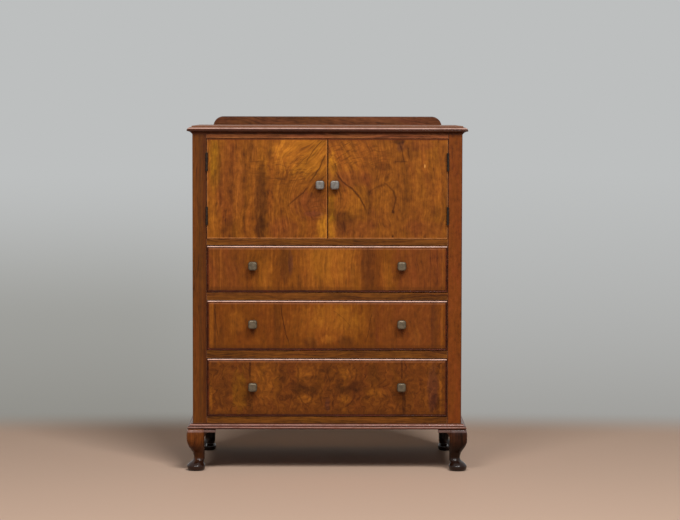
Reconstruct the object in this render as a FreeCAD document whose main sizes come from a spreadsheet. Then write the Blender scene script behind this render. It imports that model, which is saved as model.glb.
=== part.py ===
import FreeCAD, Part
import math
import os
import Sketcher
from types import SimpleNamespace

# A walnut tallboy: a cupboard with two doors over three graduated drawers, on four short cabriole legs.
# Millimetres, +Z up. The front faces -Y. The origin is on the floor, under the middle of the whole box,
# whose depth runs from the tips of the knobs to the back.

doc = FreeCAD.newDocument("Tallboy")
sheet = doc.addObject("Spreadsheet::Sheet", "Sizes")

driving_sizes = {
    # carcase
    "carcase_width": 762.0,
    "carcase_depth": 442.0,
    "stile_width": 40.0,
    "stile_depth": 30.0,
    "side_thickness": 18.0,
    "side_tongue_length": 8.0,
    "side_tongue_thickness": 6.0,
    "back_thickness": 6.0,
    "back_rebate": 10.0,
    "rail_depth": 60.0,
    "tenon_length": 14.0,
    "tenon_thickness": 14.0,
    "tenon_shoulder": 4.0,
    "tenon_setback": 8.0,
    "arris_radius": 1.5,
    # heights, from the floor up
    "leg_rise": 120.0,
    "base_thickness": 16.0,
    "bottom_rail_height": 18.7,
    "lower_opening": 166.9,
    "lower_rail_height": 21.4,
    "middle_opening": 143.9,
    "upper_rail_height": 21.0,
    "upper_opening": 134.1,
    "door_rail_height": 18.2,
    "door_opening": 284.2,
    "top_rail_height": 15.6,
    "top_thickness": 19.0,
    # moulded top and its gallery
    "top_overhang": 15.0,
    "top_inner_reach": 20.0,
    "top_lip": 2.0,
    "top_lip_drop": 3.5,
    "top_quirk": 1.5,
    "top_round_radius": 12.5,
    "top_nose_low": 4.0,
    "top_nose_high": 8.0,
    "cove_drop": 5.0,
    "cove_radius": 17.0,
    "gallery_length": 683.0,
    "gallery_rise": 25.0,
    "gallery_thickness": 14.0,
    "gallery_end_width": 30.0,
    "gallery_arris": 2.5,
    # base moulding
    "moulding_reach": 14.5,
    "moulding_foot_round": 2.5,
    "moulding_lower_round": 4.0,
    "moulding_lower_flat": 5.0,
    "moulding_quirk": 1.5,
    "moulding_upper_round": 6.0,
    # cabriole legs
    "knee_reach": 17.2,
    "knee_drop": 19.0,
    "knee_flat": 0.54,
    "cheek_flat": 0.62,
    "cheek_drop": 9.5,
    "cheek_reach": 16.2,
    "shoulder_flat": 0.7,
    "shoulder_drop": 3.0,
    "shoulder_reach": 14.9,
    "leg_block_reach": 12.8,
    "leg_block_flat": 0.78,
    "leg_inner_setback": 32.4,
    "ankle_height": 45.0,
    "ankle_width": 26.9,
    "ankle_flat": 0.04,
    "ankle_blend": 5.0,
    "ankle_flare": 2.0,
    "ankle_ease": 0.8,
    "foot_offset": 12.0,
    "foot_radius": 24.1,
    "foot_base_radius": 14.7,
    "foot_belly_height": 15.0,
    "foot_height": 31.0,
    "foot_top_radius": 13.0,
    "foot_under_round": 19.0,
    "foot_upper_round": 18.0,
    "back_leg_inset": 12.0,
    "wing_length": 33.0,
    "wing_tip_height": 9.5,
    "wing_flat_start": 13.0,
    "wing_curve": 12.0,
    "wing_waist": 2.0,
    "wing_waist_drop": 20.5,
    "wing_root": 6.0,
    "wing_drop": 44.0,
    "wing_thickness": 20.0,
    "wing_reach": 11.0,
    "wing_top_round": 4.5,
    # cupboard
    "door_thickness": 19.0,
    "door_arris_radius": 0.75,
    "door_foot_gap": 0.8,
    "door_head_gap": 1.8,
    "door_side_gap": 1.2,
    "door_meeting_gap": 1.4,
    "door_stop_gap": 0.3,
    "door_stop_depth": 20.0,
    "door_stop_height": 12.0,
    "floor_thickness": 12.0,
    "floor_housing": 6.0,
    # butt hinges
    "hinge_length": 51.0,
    "hinge_top_drop": 66.9,
    "hinge_bottom_lift": 64.8,
    "leaf_width": 17.0,
    "leaf_thickness": 1.6,
    "knuckle_radius": 3.4,
    "knuckle_gap": 0.3,
    "pin_radius": 1.6,
    "pin_fit": 0.05,
    "pin_offset": 3.9,
    "pin_stand": 0.8,
    # spring catches
    "catch_offset": 40.0,
    "catch_width": 12.0,
    "catch_metal": 0.8,
    "catch_mouth": 6.4,
    "catch_depth": 18.0,
    "catch_ridge_radius": 1.0,
    "catch_setback": 2.2,
    "tongue_width": 10.0,
    "tongue_plate": 1.2,
    "tongue_plate_height": 26.0,
    "tongue_length": 13.0,
    "tongue_bulb_radius": 1.5,
    # drawers
    "drawer_foot_gap": 1.0,
    "drawer_head_gap": 2.4,
    "drawer_side_gap": 0.8,
    "drawer_front_thickness": 20.0,
    "drawer_side_thickness": 11.0,
    "drawer_back_thickness": 10.0,
    "drawer_rear_gap": 12.0,
    "drawer_side_drop": 4.0,
    "drawer_back_drop": 10.0,
    "drawer_panel_thickness": 5.0,
    "drawer_panel_lift": 8.0,
    "drawer_groove": 5.0,
    "tail_length": 8.0,
    "tail_tip_share": 0.66,
    "tail_root_share": 0.46,
    "bead_width": 4.0,
    "bead_depth": 10.0,
    "bead_proud": 2.0,
    "bead_round": 1.6,
    "runner_reach": 15.0,
    "guide_height": 20.0,
    "stop_offset": 205.0,
    "stop_length": 30.0,
    "stop_depth": 12.0,
    "stop_height": 5.0,
    "stop_gap": 0.3,
    # knobs
    "knob_reach": 27.0,
    "knob_width": 25.0,
    "knob_corner": 7.0,
    "knob_rose_radius": 8.5,
    "knob_rose_height": 2.4,
    "knob_rose_slope": 1.6,
    "knob_neck_radius": 6.0,
    "knob_neck_end": 9.0,
    "knob_flare_radius": 10.5,
    "knob_back_height": 14.5,
    "knob_edge_round": 4.0,
    "knob_shank_radius": 2.4,
    "knob_shank_length": 14.0,
    "knob_fit": 0.05,
    "drawer_knob_offset": 210.5,
    "door_knob_offset": 20.8,
    "door_knob_height": 152.8,
    "upper_knob_height": 76.1,
    "middle_knob_height": 75.5,
    "lower_knob_height": 85.3,
}

for line, (name, value) in enumerate(driving_sizes.items(), start=1):
    sheet.set(f"A{line}", name)
    sheet.set(f"B{line}", str(value))
    sheet.setAlias(f"B{line}", name)
doc.recompute()


class Measure:
    """A length worked out from the sheet: its formula and its present value in millimetres."""

    def __init__(self, formula, value):
        self.formula = formula
        self.value = value

    def __add__(self, other):
        return combine(self, "+", other)

    def __radd__(self, other):
        return combine(other, "+", self)

    def __sub__(self, other):
        return combine(self, "-", other)

    def __rsub__(self, other):
        return combine(other, "-", self)

    def __mul__(self, other):
        return combine(self, "*", other)

    def __rmul__(self, other):
        return combine(other, "*", self)

    def __truediv__(self, other):
        return combine(self, "/", other)

    def __neg__(self):
        return combine(0.0, "-", self)


def measure(item):
    """A plain number as a measure."""
    if isinstance(item, Measure):
        return item
    return Measure(f"({float(item)})", float(item))


def combine(first, sign, second):
    """The sum, difference, product or quotient of two measures."""
    left = measure(first)
    right = measure(second)
    results = {
        "+": lambda a, b: a + b,
        "-": lambda a, b: a - b,
        "*": lambda a, b: a * b,
        "/": lambda a, b: a / b,
    }
    value = results[sign](left.value, right.value)
    return Measure(f"({left.formula} {sign} {right.formula})", value)


size = SimpleNamespace(**{
    name: Measure(f"Sizes.{name}", float(getattr(sheet, name))) for name in driving_sizes
})

# Planes and levels that many pieces share.
FRONT = (size.knob_reach - size.carcase_depth) / 2
BACK = (size.knob_reach + size.carcase_depth) / 2
HALF_CASE = size.carcase_width / 2
HALF_OPENING = HALF_CASE - size.stile_width
SIDE_FACE = HALF_CASE - size.side_thickness
BACK_FACE = BACK - size.back_thickness
CASE_FLOOR = size.leg_rise + size.base_thickness
LOWER_SILL = CASE_FLOOR + size.bottom_rail_height
LOWER_HEAD = LOWER_SILL + size.lower_opening
MIDDLE_SILL = LOWER_HEAD + size.lower_rail_height
MIDDLE_HEAD = MIDDLE_SILL + size.middle_opening
UPPER_SILL = MIDDLE_HEAD + size.upper_rail_height
UPPER_HEAD = UPPER_SILL + size.upper_opening
DOOR_SILL = UPPER_HEAD + size.door_rail_height
DOOR_HEAD = DOOR_SILL + size.door_opening
CASE_TOP = DOOR_HEAD + size.top_rail_height
TOP_FACE = CASE_TOP + size.top_thickness

parts = []
sides = (("left", -1), ("right", 1))
touch = 1e-6


# Helpers that make bound objects.

def add(kind, label):
    item = doc.addObject(kind, label)
    item.Label = label
    return item


def bind(item, **formulas):
    for target, length in formulas.items():
        item.setExpression(target.replace("__", "."), measure(length).formula)


def keep(item):
    """Mark an object as one of the tallboy's finished pieces."""
    parts.append(item)
    return item


def box(label, x, y, z, dx, dy, dz):
    """A rectangular block, from its low corner."""
    block = add("Part::Box", label)
    bind(block, Length=dx, Width=dy, Height=dz)
    bind(block, Placement__Base__x=x, Placement__Base__y=y, Placement__Base__z=z)
    return block


def mirrored(side, near, depth):
    """The low x of something that lies from near to near + depth off the middle, on one side."""
    return near if side > 0 else -near - depth


def rod(label, x, y, z, radius, length, axis):
    """A round rod from x, y, z along an axis."""
    cylinder = add("Part::Cylinder", label)
    cylinder.Placement = FreeCAD.Placement(
        FreeCAD.Vector(), FreeCAD.Rotation(FreeCAD.Vector(0, 0, 1), FreeCAD.Vector(*axis)))
    bind(cylinder, Radius=radius, Height=length)
    bind(cylinder, Placement__Base__x=x, Placement__Base__y=y, Placement__Base__z=z)
    return cylinder


def group(label, pieces):
    """Separate solids kept side by side."""
    compound = add("Part::Compound", label)
    compound.Links = pieces
    return compound


def fuse(label, pieces):
    joined = add("Part::MultiFuse", label)
    joined.Shapes = pieces
    joined.Refine = True
    return joined


def cut(label, base, tools):
    cutter = tools[0] if len(tools) == 1 else group(label + "_cutters", tools)
    result = add("Part::Cut", label)
    result.Base = base
    result.Tool = cutter
    result.Refine = True
    return result


def rounded(label, base, radius, wanted):
    """The base with the edges that wanted() picks rounded over."""
    doc.recompute()
    edges = [number for number, edge in enumerate(base.Shape.Edges, start=1) if wanted(edge)]
    fillet = add("Part::Fillet", label)
    fillet.Base = base
    fillet.Edges = [(number, radius.value, radius.value) for number in edges]
    return fillet


def spans(edge, axis):
    """The least and greatest value of an edge's ends along one axis."""
    ends = [vertex.Point[axis] for vertex in edge.Vertexes]
    return min(ends), max(ends)


def lies_at(edge, axis, place):
    low, high = spans(edge, axis)
    return abs(low - place.value) < touch and abs(high - place.value) < touch


def runs_along(edge, axis):
    return all(spans(edge, other)[1] - spans(edge, other)[0] < touch for other in range(3) if other != axis)


def arc_between(start, end, radius, bulge):
    """An anticlockwise arc through two points. bulge is 1 when it swells to the left of start to end."""
    chord = end - start
    left = FreeCAD.Vector(-chord.y, chord.x, 0)
    left.normalize()
    rise = radius - math.sqrt(max(radius ** 2 - (chord.Length / 2) ** 2, 0))
    crown = (start + end) * 0.5 + left * (rise * bulge)
    return Part.Arc(end, crown, start) if bulge > 0 else Part.Arc(start, crown, end)


def sketch(body, label, plane, points, arcs=None, depth=0.0, across=0.0, closed=True):
    """A bound sketch on one of a body's origin planes.

    Each point has two measures. arcs gives, for the number of the point where it starts, an arc's
    radius and bulge. depth moves the sketch off its plane and across moves it sideways.
    """
    arcs = arcs or {}
    drawing = body.newObject("Sketcher::SketchObject", label)
    origin_plane = next(item for item in body.Origin.OriginFeatures if item.Role == plane)
    drawing.AttachmentSupport = [(origin_plane, "")]
    drawing.MapMode = "FlatFace"
    bind(drawing, AttachmentOffset__Base__z=depth, AttachmentOffset__Base__x=across)
    places = [(measure(u), measure(v)) for u, v in points]
    spots = [FreeCAD.Vector(u.value, v.value, 0) for u, v in places]
    count = len(spots) if closed else len(spots) - 1
    starts = []
    ends = []
    for number in range(count):
        start = spots[number]
        end = spots[(number + 1) % len(spots)]
        radius, bulge = arcs.get(number, (None, 0))
        if radius is None:
            line = drawing.addGeometry(Part.LineSegment(start, end), False)
        else:
            line = drawing.addGeometry(arc_between(start, end, measure(radius).value, bulge), False)
            rule = drawing.addConstraint(Sketcher.Constraint("Radius", line, measure(radius).value))
            drawing.setExpression(f"Constraints[{rule}]", measure(radius).formula)
        starts.append((line, 2 if bulge > 0 else 1))
        ends.append((line, 1 if bulge > 0 else 2))
    for number in range(count if closed else count - 1):
        follower = starts[(number + 1) % count]
        drawing.addConstraint(Sketcher.Constraint("Coincident", *ends[number], *follower))
    anchors = starts if closed else starts + [ends[-1]]
    for place, anchor in zip(places, anchors):
        for direction, length in zip(("DistanceX", "DistanceY"), place):
            rule = drawing.addConstraint(Sketcher.Constraint(direction, -1, 1, *anchor, length.value))
            drawing.setExpression(f"Constraints[{rule}]", length.formula)
    return drawing


def rounded_square(body, label, plane, depth, left, right, low, high, corner):
    """A rounded rectangle sketch, from its four limits and its corner radius."""
    points = [
        (left + corner, low), (right - corner, low), (right, low + corner), (right, high - corner),
        (right - corner, high), (left + corner, high), (left, high - corner), (left, low + corner),
    ]
    arcs = {number: (corner, -1) for number in (1, 3, 5, 7)}
    return sketch(body, label, plane, points, arcs, depth)


def pad(body, label, profile, length):
    feature = body.newObject("PartDesign::Pad", label)
    feature.Profile = profile
    bind(feature, Length=length)
    return feature


# Moulded runs round the front and both sides, mitred at the front corners.

def moulded_run(body, label, outline, arcs, floor):
    """Sweep an outline of (reach off the case, height over the floor) along the left, front and right."""
    path_points = [(-HALF_CASE, BACK), (-HALF_CASE, FRONT), (HALF_CASE, FRONT), (HALF_CASE, BACK)]
    path = sketch(body, label + "_path", "XY_Plane", path_points, depth=floor, closed=False)
    places = [(-HALF_CASE - reach, floor + height) for reach, height in outline]
    profile = sketch(body, label + "_profile", "XZ_Plane", places, arcs, depth=-BACK)
    run = body.newObject("PartDesign::AdditivePipe", label)
    run.Profile = profile
    run.Spine = (path, ["Edge1", "Edge2", "Edge3"])
    run.Transition = "Right corner"
    return run


# The top: a board with a thumb-moulded edge and a cove under it.

top_board = keep(add("PartDesign::Body", "top_board"))
top_outline = [
    (-size.top_inner_reach, 0.0),
    (0.0, 0.0),
    (0.0, -size.cove_drop),
    (size.top_overhang, size.top_nose_low),
    (size.top_overhang, size.top_nose_high),
    (size.top_lip + size.top_quirk, size.top_thickness - size.top_lip_drop),
    (size.top_lip, size.top_thickness - size.top_lip_drop),
    (size.top_lip, size.top_thickness),
    (-size.top_inner_reach, size.top_thickness),
]
top_arcs = {2: (size.cove_radius, -1), 4: (size.top_round_radius, 1)}
moulded_run(top_board, "top_edge", top_outline, top_arcs, CASE_TOP)
core_reach = HALF_CASE - size.top_inner_reach
core_points = [
    (-core_reach, FRONT + size.top_inner_reach), (core_reach, FRONT + size.top_inner_reach),
    (core_reach, BACK), (-core_reach, BACK),
]
core = sketch(top_board, "top_core_outline", "XY_Plane", core_points, depth=CASE_TOP)
pad(top_board, "top_core", core, size.top_thickness)

# The gallery: a low board on the back edge of the top. Each end is an arc that starts leaning inwards
# and runs out level at the top.

gallery_blank = add("PartDesign::Body", "gallery_blank")
gallery_top = TOP_FACE + size.gallery_rise
gallery_half = size.gallery_length / 2
gallery_flat_half = gallery_half - size.gallery_end_width
gallery_points = [
    (-gallery_half, TOP_FACE), (gallery_half, TOP_FACE),
    (gallery_flat_half, gallery_top), (-gallery_flat_half, gallery_top),
]
end_radius = size.gallery_rise / 2 + size.gallery_end_width * size.gallery_end_width / size.gallery_rise / 2
gallery_outline = sketch(gallery_blank, "gallery_outline", "XZ_Plane", gallery_points,
                         {1: (end_radius, -1), 3: (end_radius, -1)}, depth=-BACK)
pad(gallery_blank, "gallery_pad", gallery_outline, size.gallery_thickness)
gallery_face = BACK - size.gallery_thickness
keep(rounded("gallery_board", gallery_blank, size.gallery_arris,
             lambda edge: lies_at(edge, 1, gallery_face) and spans(edge, 2)[1] > TOP_FACE.value + touch))

# Face frame. Each rail has a stub tenon at both ends, which also cuts its mortise in the stile.

rail_levels = (
    ("bottom_rail", CASE_FLOOR, size.bottom_rail_height),
    ("drawer_rail_lower", LOWER_HEAD, size.lower_rail_height),
    ("drawer_rail_upper", MIDDLE_HEAD, size.upper_rail_height),
    ("door_rail", UPPER_HEAD, size.door_rail_height),
    ("top_rail", DOOR_HEAD, size.top_rail_height),
)
tenons = {"left": [], "right": []}
for name, level, height in rail_levels:
    plank = box(name + "_plank", -HALF_OPENING, FRONT, level, HALF_OPENING * 2, size.rail_depth, height)
    pair = []
    for side_name, side in sides:
        tenon = box(f"{name}_tenon_{side_name}", mirrored(side, HALF_OPENING, size.tenon_length),
                    FRONT + size.tenon_setback, level + size.tenon_shoulder,
                    size.tenon_length, size.tenon_thickness, height - size.tenon_shoulder * 2)
        tenons[side_name].append(tenon)
        pair.append(tenon)
    keep(fuse(name, [plank] + pair))


def leaf_recess(owner, side_name, near, level, side):
    """The shallow recess that a hinge leaf lies in, which is the leaf's own plate."""
    return box(f"{owner}_{side_name}", mirrored(side, near, size.leaf_thickness), FRONT,
               level - size.hinge_length / 2, size.leaf_thickness, size.leaf_width, size.hinge_length)


hinge_levels = (
    ("upper", DOOR_HEAD - size.hinge_top_drop),
    ("lower", DOOR_SILL + size.hinge_bottom_lift),
)
frame_plates = {}
for side_name, side in sides:
    frame_plates[side_name] = [
        leaf_recess(f"frame_plate_{name}", side_name, HALF_OPENING, level, side)
        for name, level in hinge_levels
    ]

for side_name, side in sides:
    post = box(f"stile_post_{side_name}", mirrored(side, HALF_OPENING, size.stile_width), FRONT, CASE_FLOOR,
               size.stile_width, size.stile_depth, CASE_TOP - CASE_FLOOR)
    outer_face = HALF_CASE * side
    eased = rounded(f"stile_eased_{side_name}", post, size.arris_radius,
                    lambda edge: lies_at(edge, 1, FRONT) and lies_at(edge, 0, outer_face))
    tongue_middle = HALF_CASE - size.side_thickness / 2
    tongue = box(f"side_tongue_{side_name}",
                 mirrored(side, tongue_middle - size.side_tongue_thickness / 2, size.side_tongue_thickness),
                 FRONT + size.stile_depth - size.side_tongue_length, CASE_FLOOR,
                 size.side_tongue_thickness, size.side_tongue_length, CASE_TOP - CASE_FLOOR)
    keep(cut(f"front_stile_{side_name}", eased, tenons[side_name] + frame_plates[side_name] + [tongue]))
    board = box(f"side_board_{side_name}", mirrored(side, SIDE_FACE, size.side_thickness),
                FRONT + size.stile_depth, CASE_FLOOR,
                size.side_thickness, size.carcase_depth - size.stile_depth, CASE_TOP - CASE_FLOOR)
    rebate = box(f"back_rebate_{side_name}", mirrored(side, SIDE_FACE, size.back_rebate), BACK_FACE,
                 CASE_FLOOR, size.back_rebate, size.back_thickness, CASE_TOP - CASE_FLOOR)
    housing = box(f"floor_housing_{side_name}", mirrored(side, SIDE_FACE, size.floor_housing),
                  FRONT + size.rail_depth, DOOR_SILL - size.floor_thickness,
                  size.floor_housing, size.carcase_depth - size.rail_depth - size.back_thickness,
                  size.floor_thickness)
    keep(cut(f"side_panel_{side_name}", fuse(f"side_blank_{side_name}", [board, tongue]), [rebate, housing]))

# Back, cupboard floor, bottom board and the stop that the doors shut against.

back_reach = SIDE_FACE + size.back_rebate
keep(box("back_panel", -back_reach, BACK_FACE, CASE_FLOOR, back_reach * 2, size.back_thickness,
         CASE_TOP - CASE_FLOOR))
floor_reach = SIDE_FACE + size.floor_housing
keep(box("cupboard_floor", -floor_reach, FRONT + size.rail_depth, DOOR_SILL - size.floor_thickness,
         floor_reach * 2, size.carcase_depth - size.rail_depth - size.back_thickness, size.floor_thickness))
keep(box("bottom_board", -HALF_CASE, FRONT, size.leg_rise, size.carcase_width, size.carcase_depth,
         size.base_thickness))
DOOR_BACK = FRONT + size.door_thickness
STOP_FACE = DOOR_BACK + size.door_stop_gap
STOP_FLOOR = DOOR_HEAD - size.door_stop_height
keep(box("door_stop", -HALF_OPENING, STOP_FACE, STOP_FLOOR, HALF_OPENING * 2, size.door_stop_depth,
         size.door_stop_height))

# Base moulding: one profile, cut into a front and two returns where the corners are mitred.

moulding = add("PartDesign::Body", "moulding_run")
lower_top = size.moulding_lower_flat + size.moulding_lower_round
upper_reach = size.moulding_reach - size.moulding_lower_round - size.moulding_quirk
moulding_outline = [
    (0.0, 0.0),
    (size.moulding_reach - size.moulding_foot_round, 0.0),
    (size.moulding_reach, size.moulding_foot_round),
    (size.moulding_reach, size.moulding_lower_flat),
    (size.moulding_reach - size.moulding_lower_round, lower_top),
    (upper_reach, lower_top),
    (upper_reach - size.moulding_upper_round, lower_top + size.moulding_upper_round),
    (0.0, size.base_thickness),
]
moulding_arcs = {
    1: (size.moulding_foot_round, 1),
    3: (size.moulding_lower_round, 1),
    5: (size.moulding_upper_round, 1),
}
moulded_run(moulding, "base_edge", moulding_outline, moulding_arcs, size.leg_rise)
mitre = add("Part::Wedge", "front_mitre")
bind(mitre, Xmin=-HALF_CASE - size.moulding_reach, Xmax=HALF_CASE + size.moulding_reach,
     X2min=-HALF_CASE, X2max=HALF_CASE, Ymin=FRONT - size.moulding_reach, Ymax=FRONT,
     Zmin=size.leg_rise, Zmax=CASE_FLOOR, Z2min=size.leg_rise, Z2max=CASE_FLOOR)
returns = cut("moulding_returns", moulding, [mitre])
keep(cut("base_moulding_front", moulding, [returns]))
for side_name, side in sides:
    half = box(f"moulding_half_{side_name}", mirrored(side, measure(0.0), HALF_CASE * 2), FRONT * 2,
               size.leg_rise, HALF_CASE * 2, size.carcase_depth * 2, size.base_thickness)
    piece = keep(add("Part::Common", f"base_moulding_{side_name}"))
    piece.Base = returns
    piece.Tool = half

# Cabriole leg: a loft from a round ankle, out over the knee and in to the square block at the top,
# standing on a turned pad foot that is set outwards of the ankle. The flat values give the share of
# each side that stays flat between its rounded corners.

leg = keep(add("PartDesign::Body", "leg_front_right"))
ankle_reach = size.ankle_width - size.leg_inner_setback
rise = size.leg_rise - size.knee_drop - size.ankle_height
shin_steps = 5
sections = [
    (size.foot_height - size.ankle_blend, ankle_reach + size.ankle_flare, size.ankle_flat),
    (size.foot_height + size.ankle_blend, ankle_reach + size.ankle_ease, size.ankle_flat),
]
for step in range(shin_steps):
    share = step / (shin_steps - 1)
    swell = (1 - math.cos(math.pi * share)) / 2
    reach = ankle_reach + (size.knee_reach - ankle_reach) * swell
    flat = size.ankle_flat + (size.knee_flat - size.ankle_flat) * swell
    sections.append((size.ankle_height + rise * share, reach, flat))
sections.append((size.leg_rise - size.cheek_drop, size.cheek_reach, size.cheek_flat))
sections.append((size.leg_rise - size.shoulder_drop, size.shoulder_reach, size.shoulder_flat))
sections.append((size.leg_rise, size.leg_block_reach, size.leg_block_flat))
outlines = []
for number, (level, reach, flat) in enumerate(sections):
    half_width = (reach + size.leg_inner_setback) / 2
    outlines.append(rounded_square(
        leg, f"leg_section_{number}", "XY_Plane", level,
        HALF_CASE - size.leg_inner_setback, HALF_CASE + reach,
        FRONT - reach, FRONT + size.leg_inner_setback, half_width * (1 - flat)))
shin = leg.newObject("PartDesign::AdditiveLoft", "leg_shin")
shin.Profile = outlines[0]
shin.Sections = outlines[1:]
foot_points = [
    (0.0, 0.0),
    (size.foot_base_radius, 0.0),
    (size.foot_radius, size.foot_belly_height),
    (size.foot_top_radius, size.foot_height),
    (0.0, size.foot_height),
]
foot_outline = sketch(leg, "foot_outline", "XZ_Plane", foot_points,
                      {1: (size.foot_under_round, -1), 2: (size.foot_upper_round, -1)},
                      depth=-FRONT - size.foot_offset, across=HALF_CASE - size.foot_offset)
foot = leg.newObject("PartDesign::Revolution", "leg_foot")
foot.Profile = foot_outline
foot.ReferenceAxis = (foot_outline, ["V_Axis"])
foot.Angle = 360


def mirror_of(label, source, axis, place):
    """The source seen in an upright mirror that stands square to one axis."""
    image = add("Part::Mirroring", label)
    image.Source = source
    image.Normal = FreeCAD.Vector(*[1.0 if number == axis else 0.0 for number in range(3)])
    bind(image, **{("Base__x", "Base__y")[axis]: place})
    return image


leg_front_left = keep(mirror_of("leg_front_left", leg, 0, 0.0))
back_leg = mirror_of("back_leg_image", leg, 1, size.knob_reach / 2)
back_leg_right = keep(group("leg_back_right", [back_leg]))
bind(back_leg_right, Placement__Base__x=-size.back_leg_inset, Placement__Base__y=-size.knee_reach)
leg_back_left = keep(mirror_of("leg_back_left", back_leg_right, 0, 0.0))

# Wings: the small shaped brackets glued beside the knees. One outline, turned to suit each place,
# whose root runs into the leg and is cut to the leg's own surface.

wing = add("PartDesign::Body", "wing_pattern")
wing_points = [
    (-size.wing_root, 0.0),
    (-size.wing_root, -size.wing_drop),
    (size.wing_waist, -size.wing_waist_drop),
    (size.wing_flat_start, -size.wing_tip_height),
    (size.wing_length, -size.wing_tip_height),
    (size.wing_length, 0.0),
]
wing_outline = sketch(wing, "wing_outline", "XZ_Plane", wing_points, {2: (size.wing_curve, 1)},
                      depth=-size.wing_thickness / 2)
pad(wing, "wing_pad", wing_outline, size.wing_thickness)
wing_face = -size.wing_thickness / 2
rounded_wing = rounded("rounded_wing", wing, size.wing_top_round,
                       lambda edge: lies_at(edge, 1, wing_face) and lies_at(edge, 2, measure(0.0)))
leg_inner_x = HALF_CASE - size.leg_inner_setback
leg_inner_y = FRONT + size.leg_inner_setback
back_leg_face = BACK - size.knee_reach - size.leg_inner_setback
wing_middle = size.wing_thickness / 2 - size.wing_reach
back_wing_x = HALF_CASE - size.back_leg_inset - wing_middle
wing_places = (
    ("front_left", -leg_inner_x, FRONT + wing_middle, 0, leg_front_left, "front_right"),
    ("side_right", HALF_CASE - wing_middle, leg_inner_y, 90, leg, "side_left"),
    ("back_left", -back_wing_x, back_leg_face, -90, leg_back_left, "back_right"),
)
wings = []
for place_name, x, y, turn, own_leg, twin_name in wing_places:
    placed = group(f"wing_blank_{place_name}", [rounded_wing])
    upright = FreeCAD.Vector(0, 0, 1)
    placed.Placement = FreeCAD.Placement(FreeCAD.Vector(), FreeCAD.Rotation(upright, turn))
    bind(placed, Placement__Base__x=x, Placement__Base__y=y, Placement__Base__z=size.leg_rise)
    wings.append(cut(f"wing_{place_name}", placed, [own_leg]))
    wings.append(mirror_of(f"wing_{twin_name}", wings[-1], 0, 0.0))
keep(group("knee_wings", wings))

# Knob: a cast head with a rounded square face, on a turned rose and neck, with a screwed shank behind.

head_half = size.knob_width / 2
knob_block = box("knob_block", -head_half, -size.knob_reach, -head_half,
                 size.knob_width, size.knob_reach - size.knob_back_height, size.knob_width)
knob_sides = rounded("knob_sides", knob_block, size.knob_corner, lambda edge: runs_along(edge, 1))
knob_face = -size.knob_reach
knob_head = rounded("knob_head", knob_sides, size.knob_edge_round, lambda edge: lies_at(edge, 1, knob_face))
knob_stem = add("PartDesign::Body", "knob_stem")
stem_points = [
    (0.0, 0.0),
    (size.knob_rose_radius, 0.0),
    (size.knob_rose_radius, -size.knob_rose_height),
    (size.knob_neck_radius, -size.knob_rose_height - size.knob_rose_slope),
    (size.knob_neck_radius, -size.knob_neck_end),
    (size.knob_flare_radius, -size.knob_back_height),
    (0.0, -size.knob_back_height),
]
stem_outline = sketch(knob_stem, "stem_outline", "XY_Plane", stem_points)
stem = knob_stem.newObject("PartDesign::Revolution", "stem_turning")
stem.Profile = stem_outline
stem.ReferenceAxis = (stem_outline, ["V_Axis"])
stem.Angle = 360
knob_shank = rod("knob_shank", 0.0, 0.0, 0.0, size.knob_shank_radius, size.knob_shank_length, (0, 1, 0))
knob_pattern = fuse("knob_pattern", [knob_head, knob_stem, knob_shank])


def knob(label, x, z):
    """A knob seated on the front plane at x, z."""
    placed = group(label, [knob_pattern])
    bind(placed, Placement__Base__x=x, Placement__Base__y=FRONT, Placement__Base__z=z)
    return placed


def knob_hole(label, x, z):
    return rod(label, x, FRONT, z, size.knob_shank_radius + size.knob_fit,
               size.knob_shank_length + size.knob_fit, (0, 1, 0))


# Butt hinges: five interleaved knuckles on a pin that stands just ahead of the face.

PIN_X = HALF_OPENING - size.door_side_gap / 2
PIN_Y = FRONT - size.pin_offset
knuckle_count = 5
knuckle_pitch = size.hinge_length / knuckle_count


def hinge_leaf(label, side, level, plate, inner_face, knuckles):
    """A leaf: its plate, and for each of its knuckles a barrel and the tongue that joins it to the plate."""
    barrels = []
    for number in knuckles:
        low = level - size.hinge_length / 2 + knuckle_pitch * number + size.knuckle_gap / 2
        height = knuckle_pitch - size.knuckle_gap
        barrels.append(rod(f"{label}_barrel_{number}", PIN_X * side, PIN_Y, low, size.knuckle_radius, height,
                           (0, 0, 1)))
        barrels.append(box(f"{label}_tongue_{number}", mirrored(side, inner_face, size.leaf_thickness), PIN_Y,
                           low, size.leaf_thickness, size.pin_offset, height))
    bore = rod(f"{label}_bore", PIN_X * side, PIN_Y, level - size.hinge_length,
               size.pin_radius + size.pin_fit, size.hinge_length * 2, (0, 0, 1))
    return cut(label, fuse(f"{label}_blank", [plate] + barrels), [bore])


frame_leaves = []
hinge_pins = []
door_leaves = {"left": [], "right": []}
door_plates = {"left": [], "right": []}
door_edge = HALF_OPENING - size.door_side_gap - size.leaf_thickness
for side_name, side in sides:
    for number, (name, level) in enumerate(hinge_levels):
        frame_leaves.append(hinge_leaf(f"frame_leaf_{name}_{side_name}", side, level,
                                       frame_plates[side_name][number], HALF_OPENING,
                                       range(0, knuckle_count, 2)))
        plate = leaf_recess(f"door_plate_{name}", side_name, door_edge, level, side)
        door_plates[side_name].append(plate)
        door_leaves[side_name].append(hinge_leaf(f"door_leaf_{name}_{side_name}", side, level, plate,
                                                 door_edge, range(1, knuckle_count, 2)))
        hinge_pins.append(rod(f"hinge_pin_{name}_{side_name}", PIN_X * side, PIN_Y,
                              level - size.hinge_length / 2 - size.pin_stand, size.pin_radius,
                              size.hinge_length + size.pin_stand * 2, (0, 0, 1)))
keep(group("hinge_leaves_frame", frame_leaves))
keep(group("hinge_pins", hinge_pins))

# Spring catches: a clip of two sprung arms under the stop, and a tongue with a bulb on each door.

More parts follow.
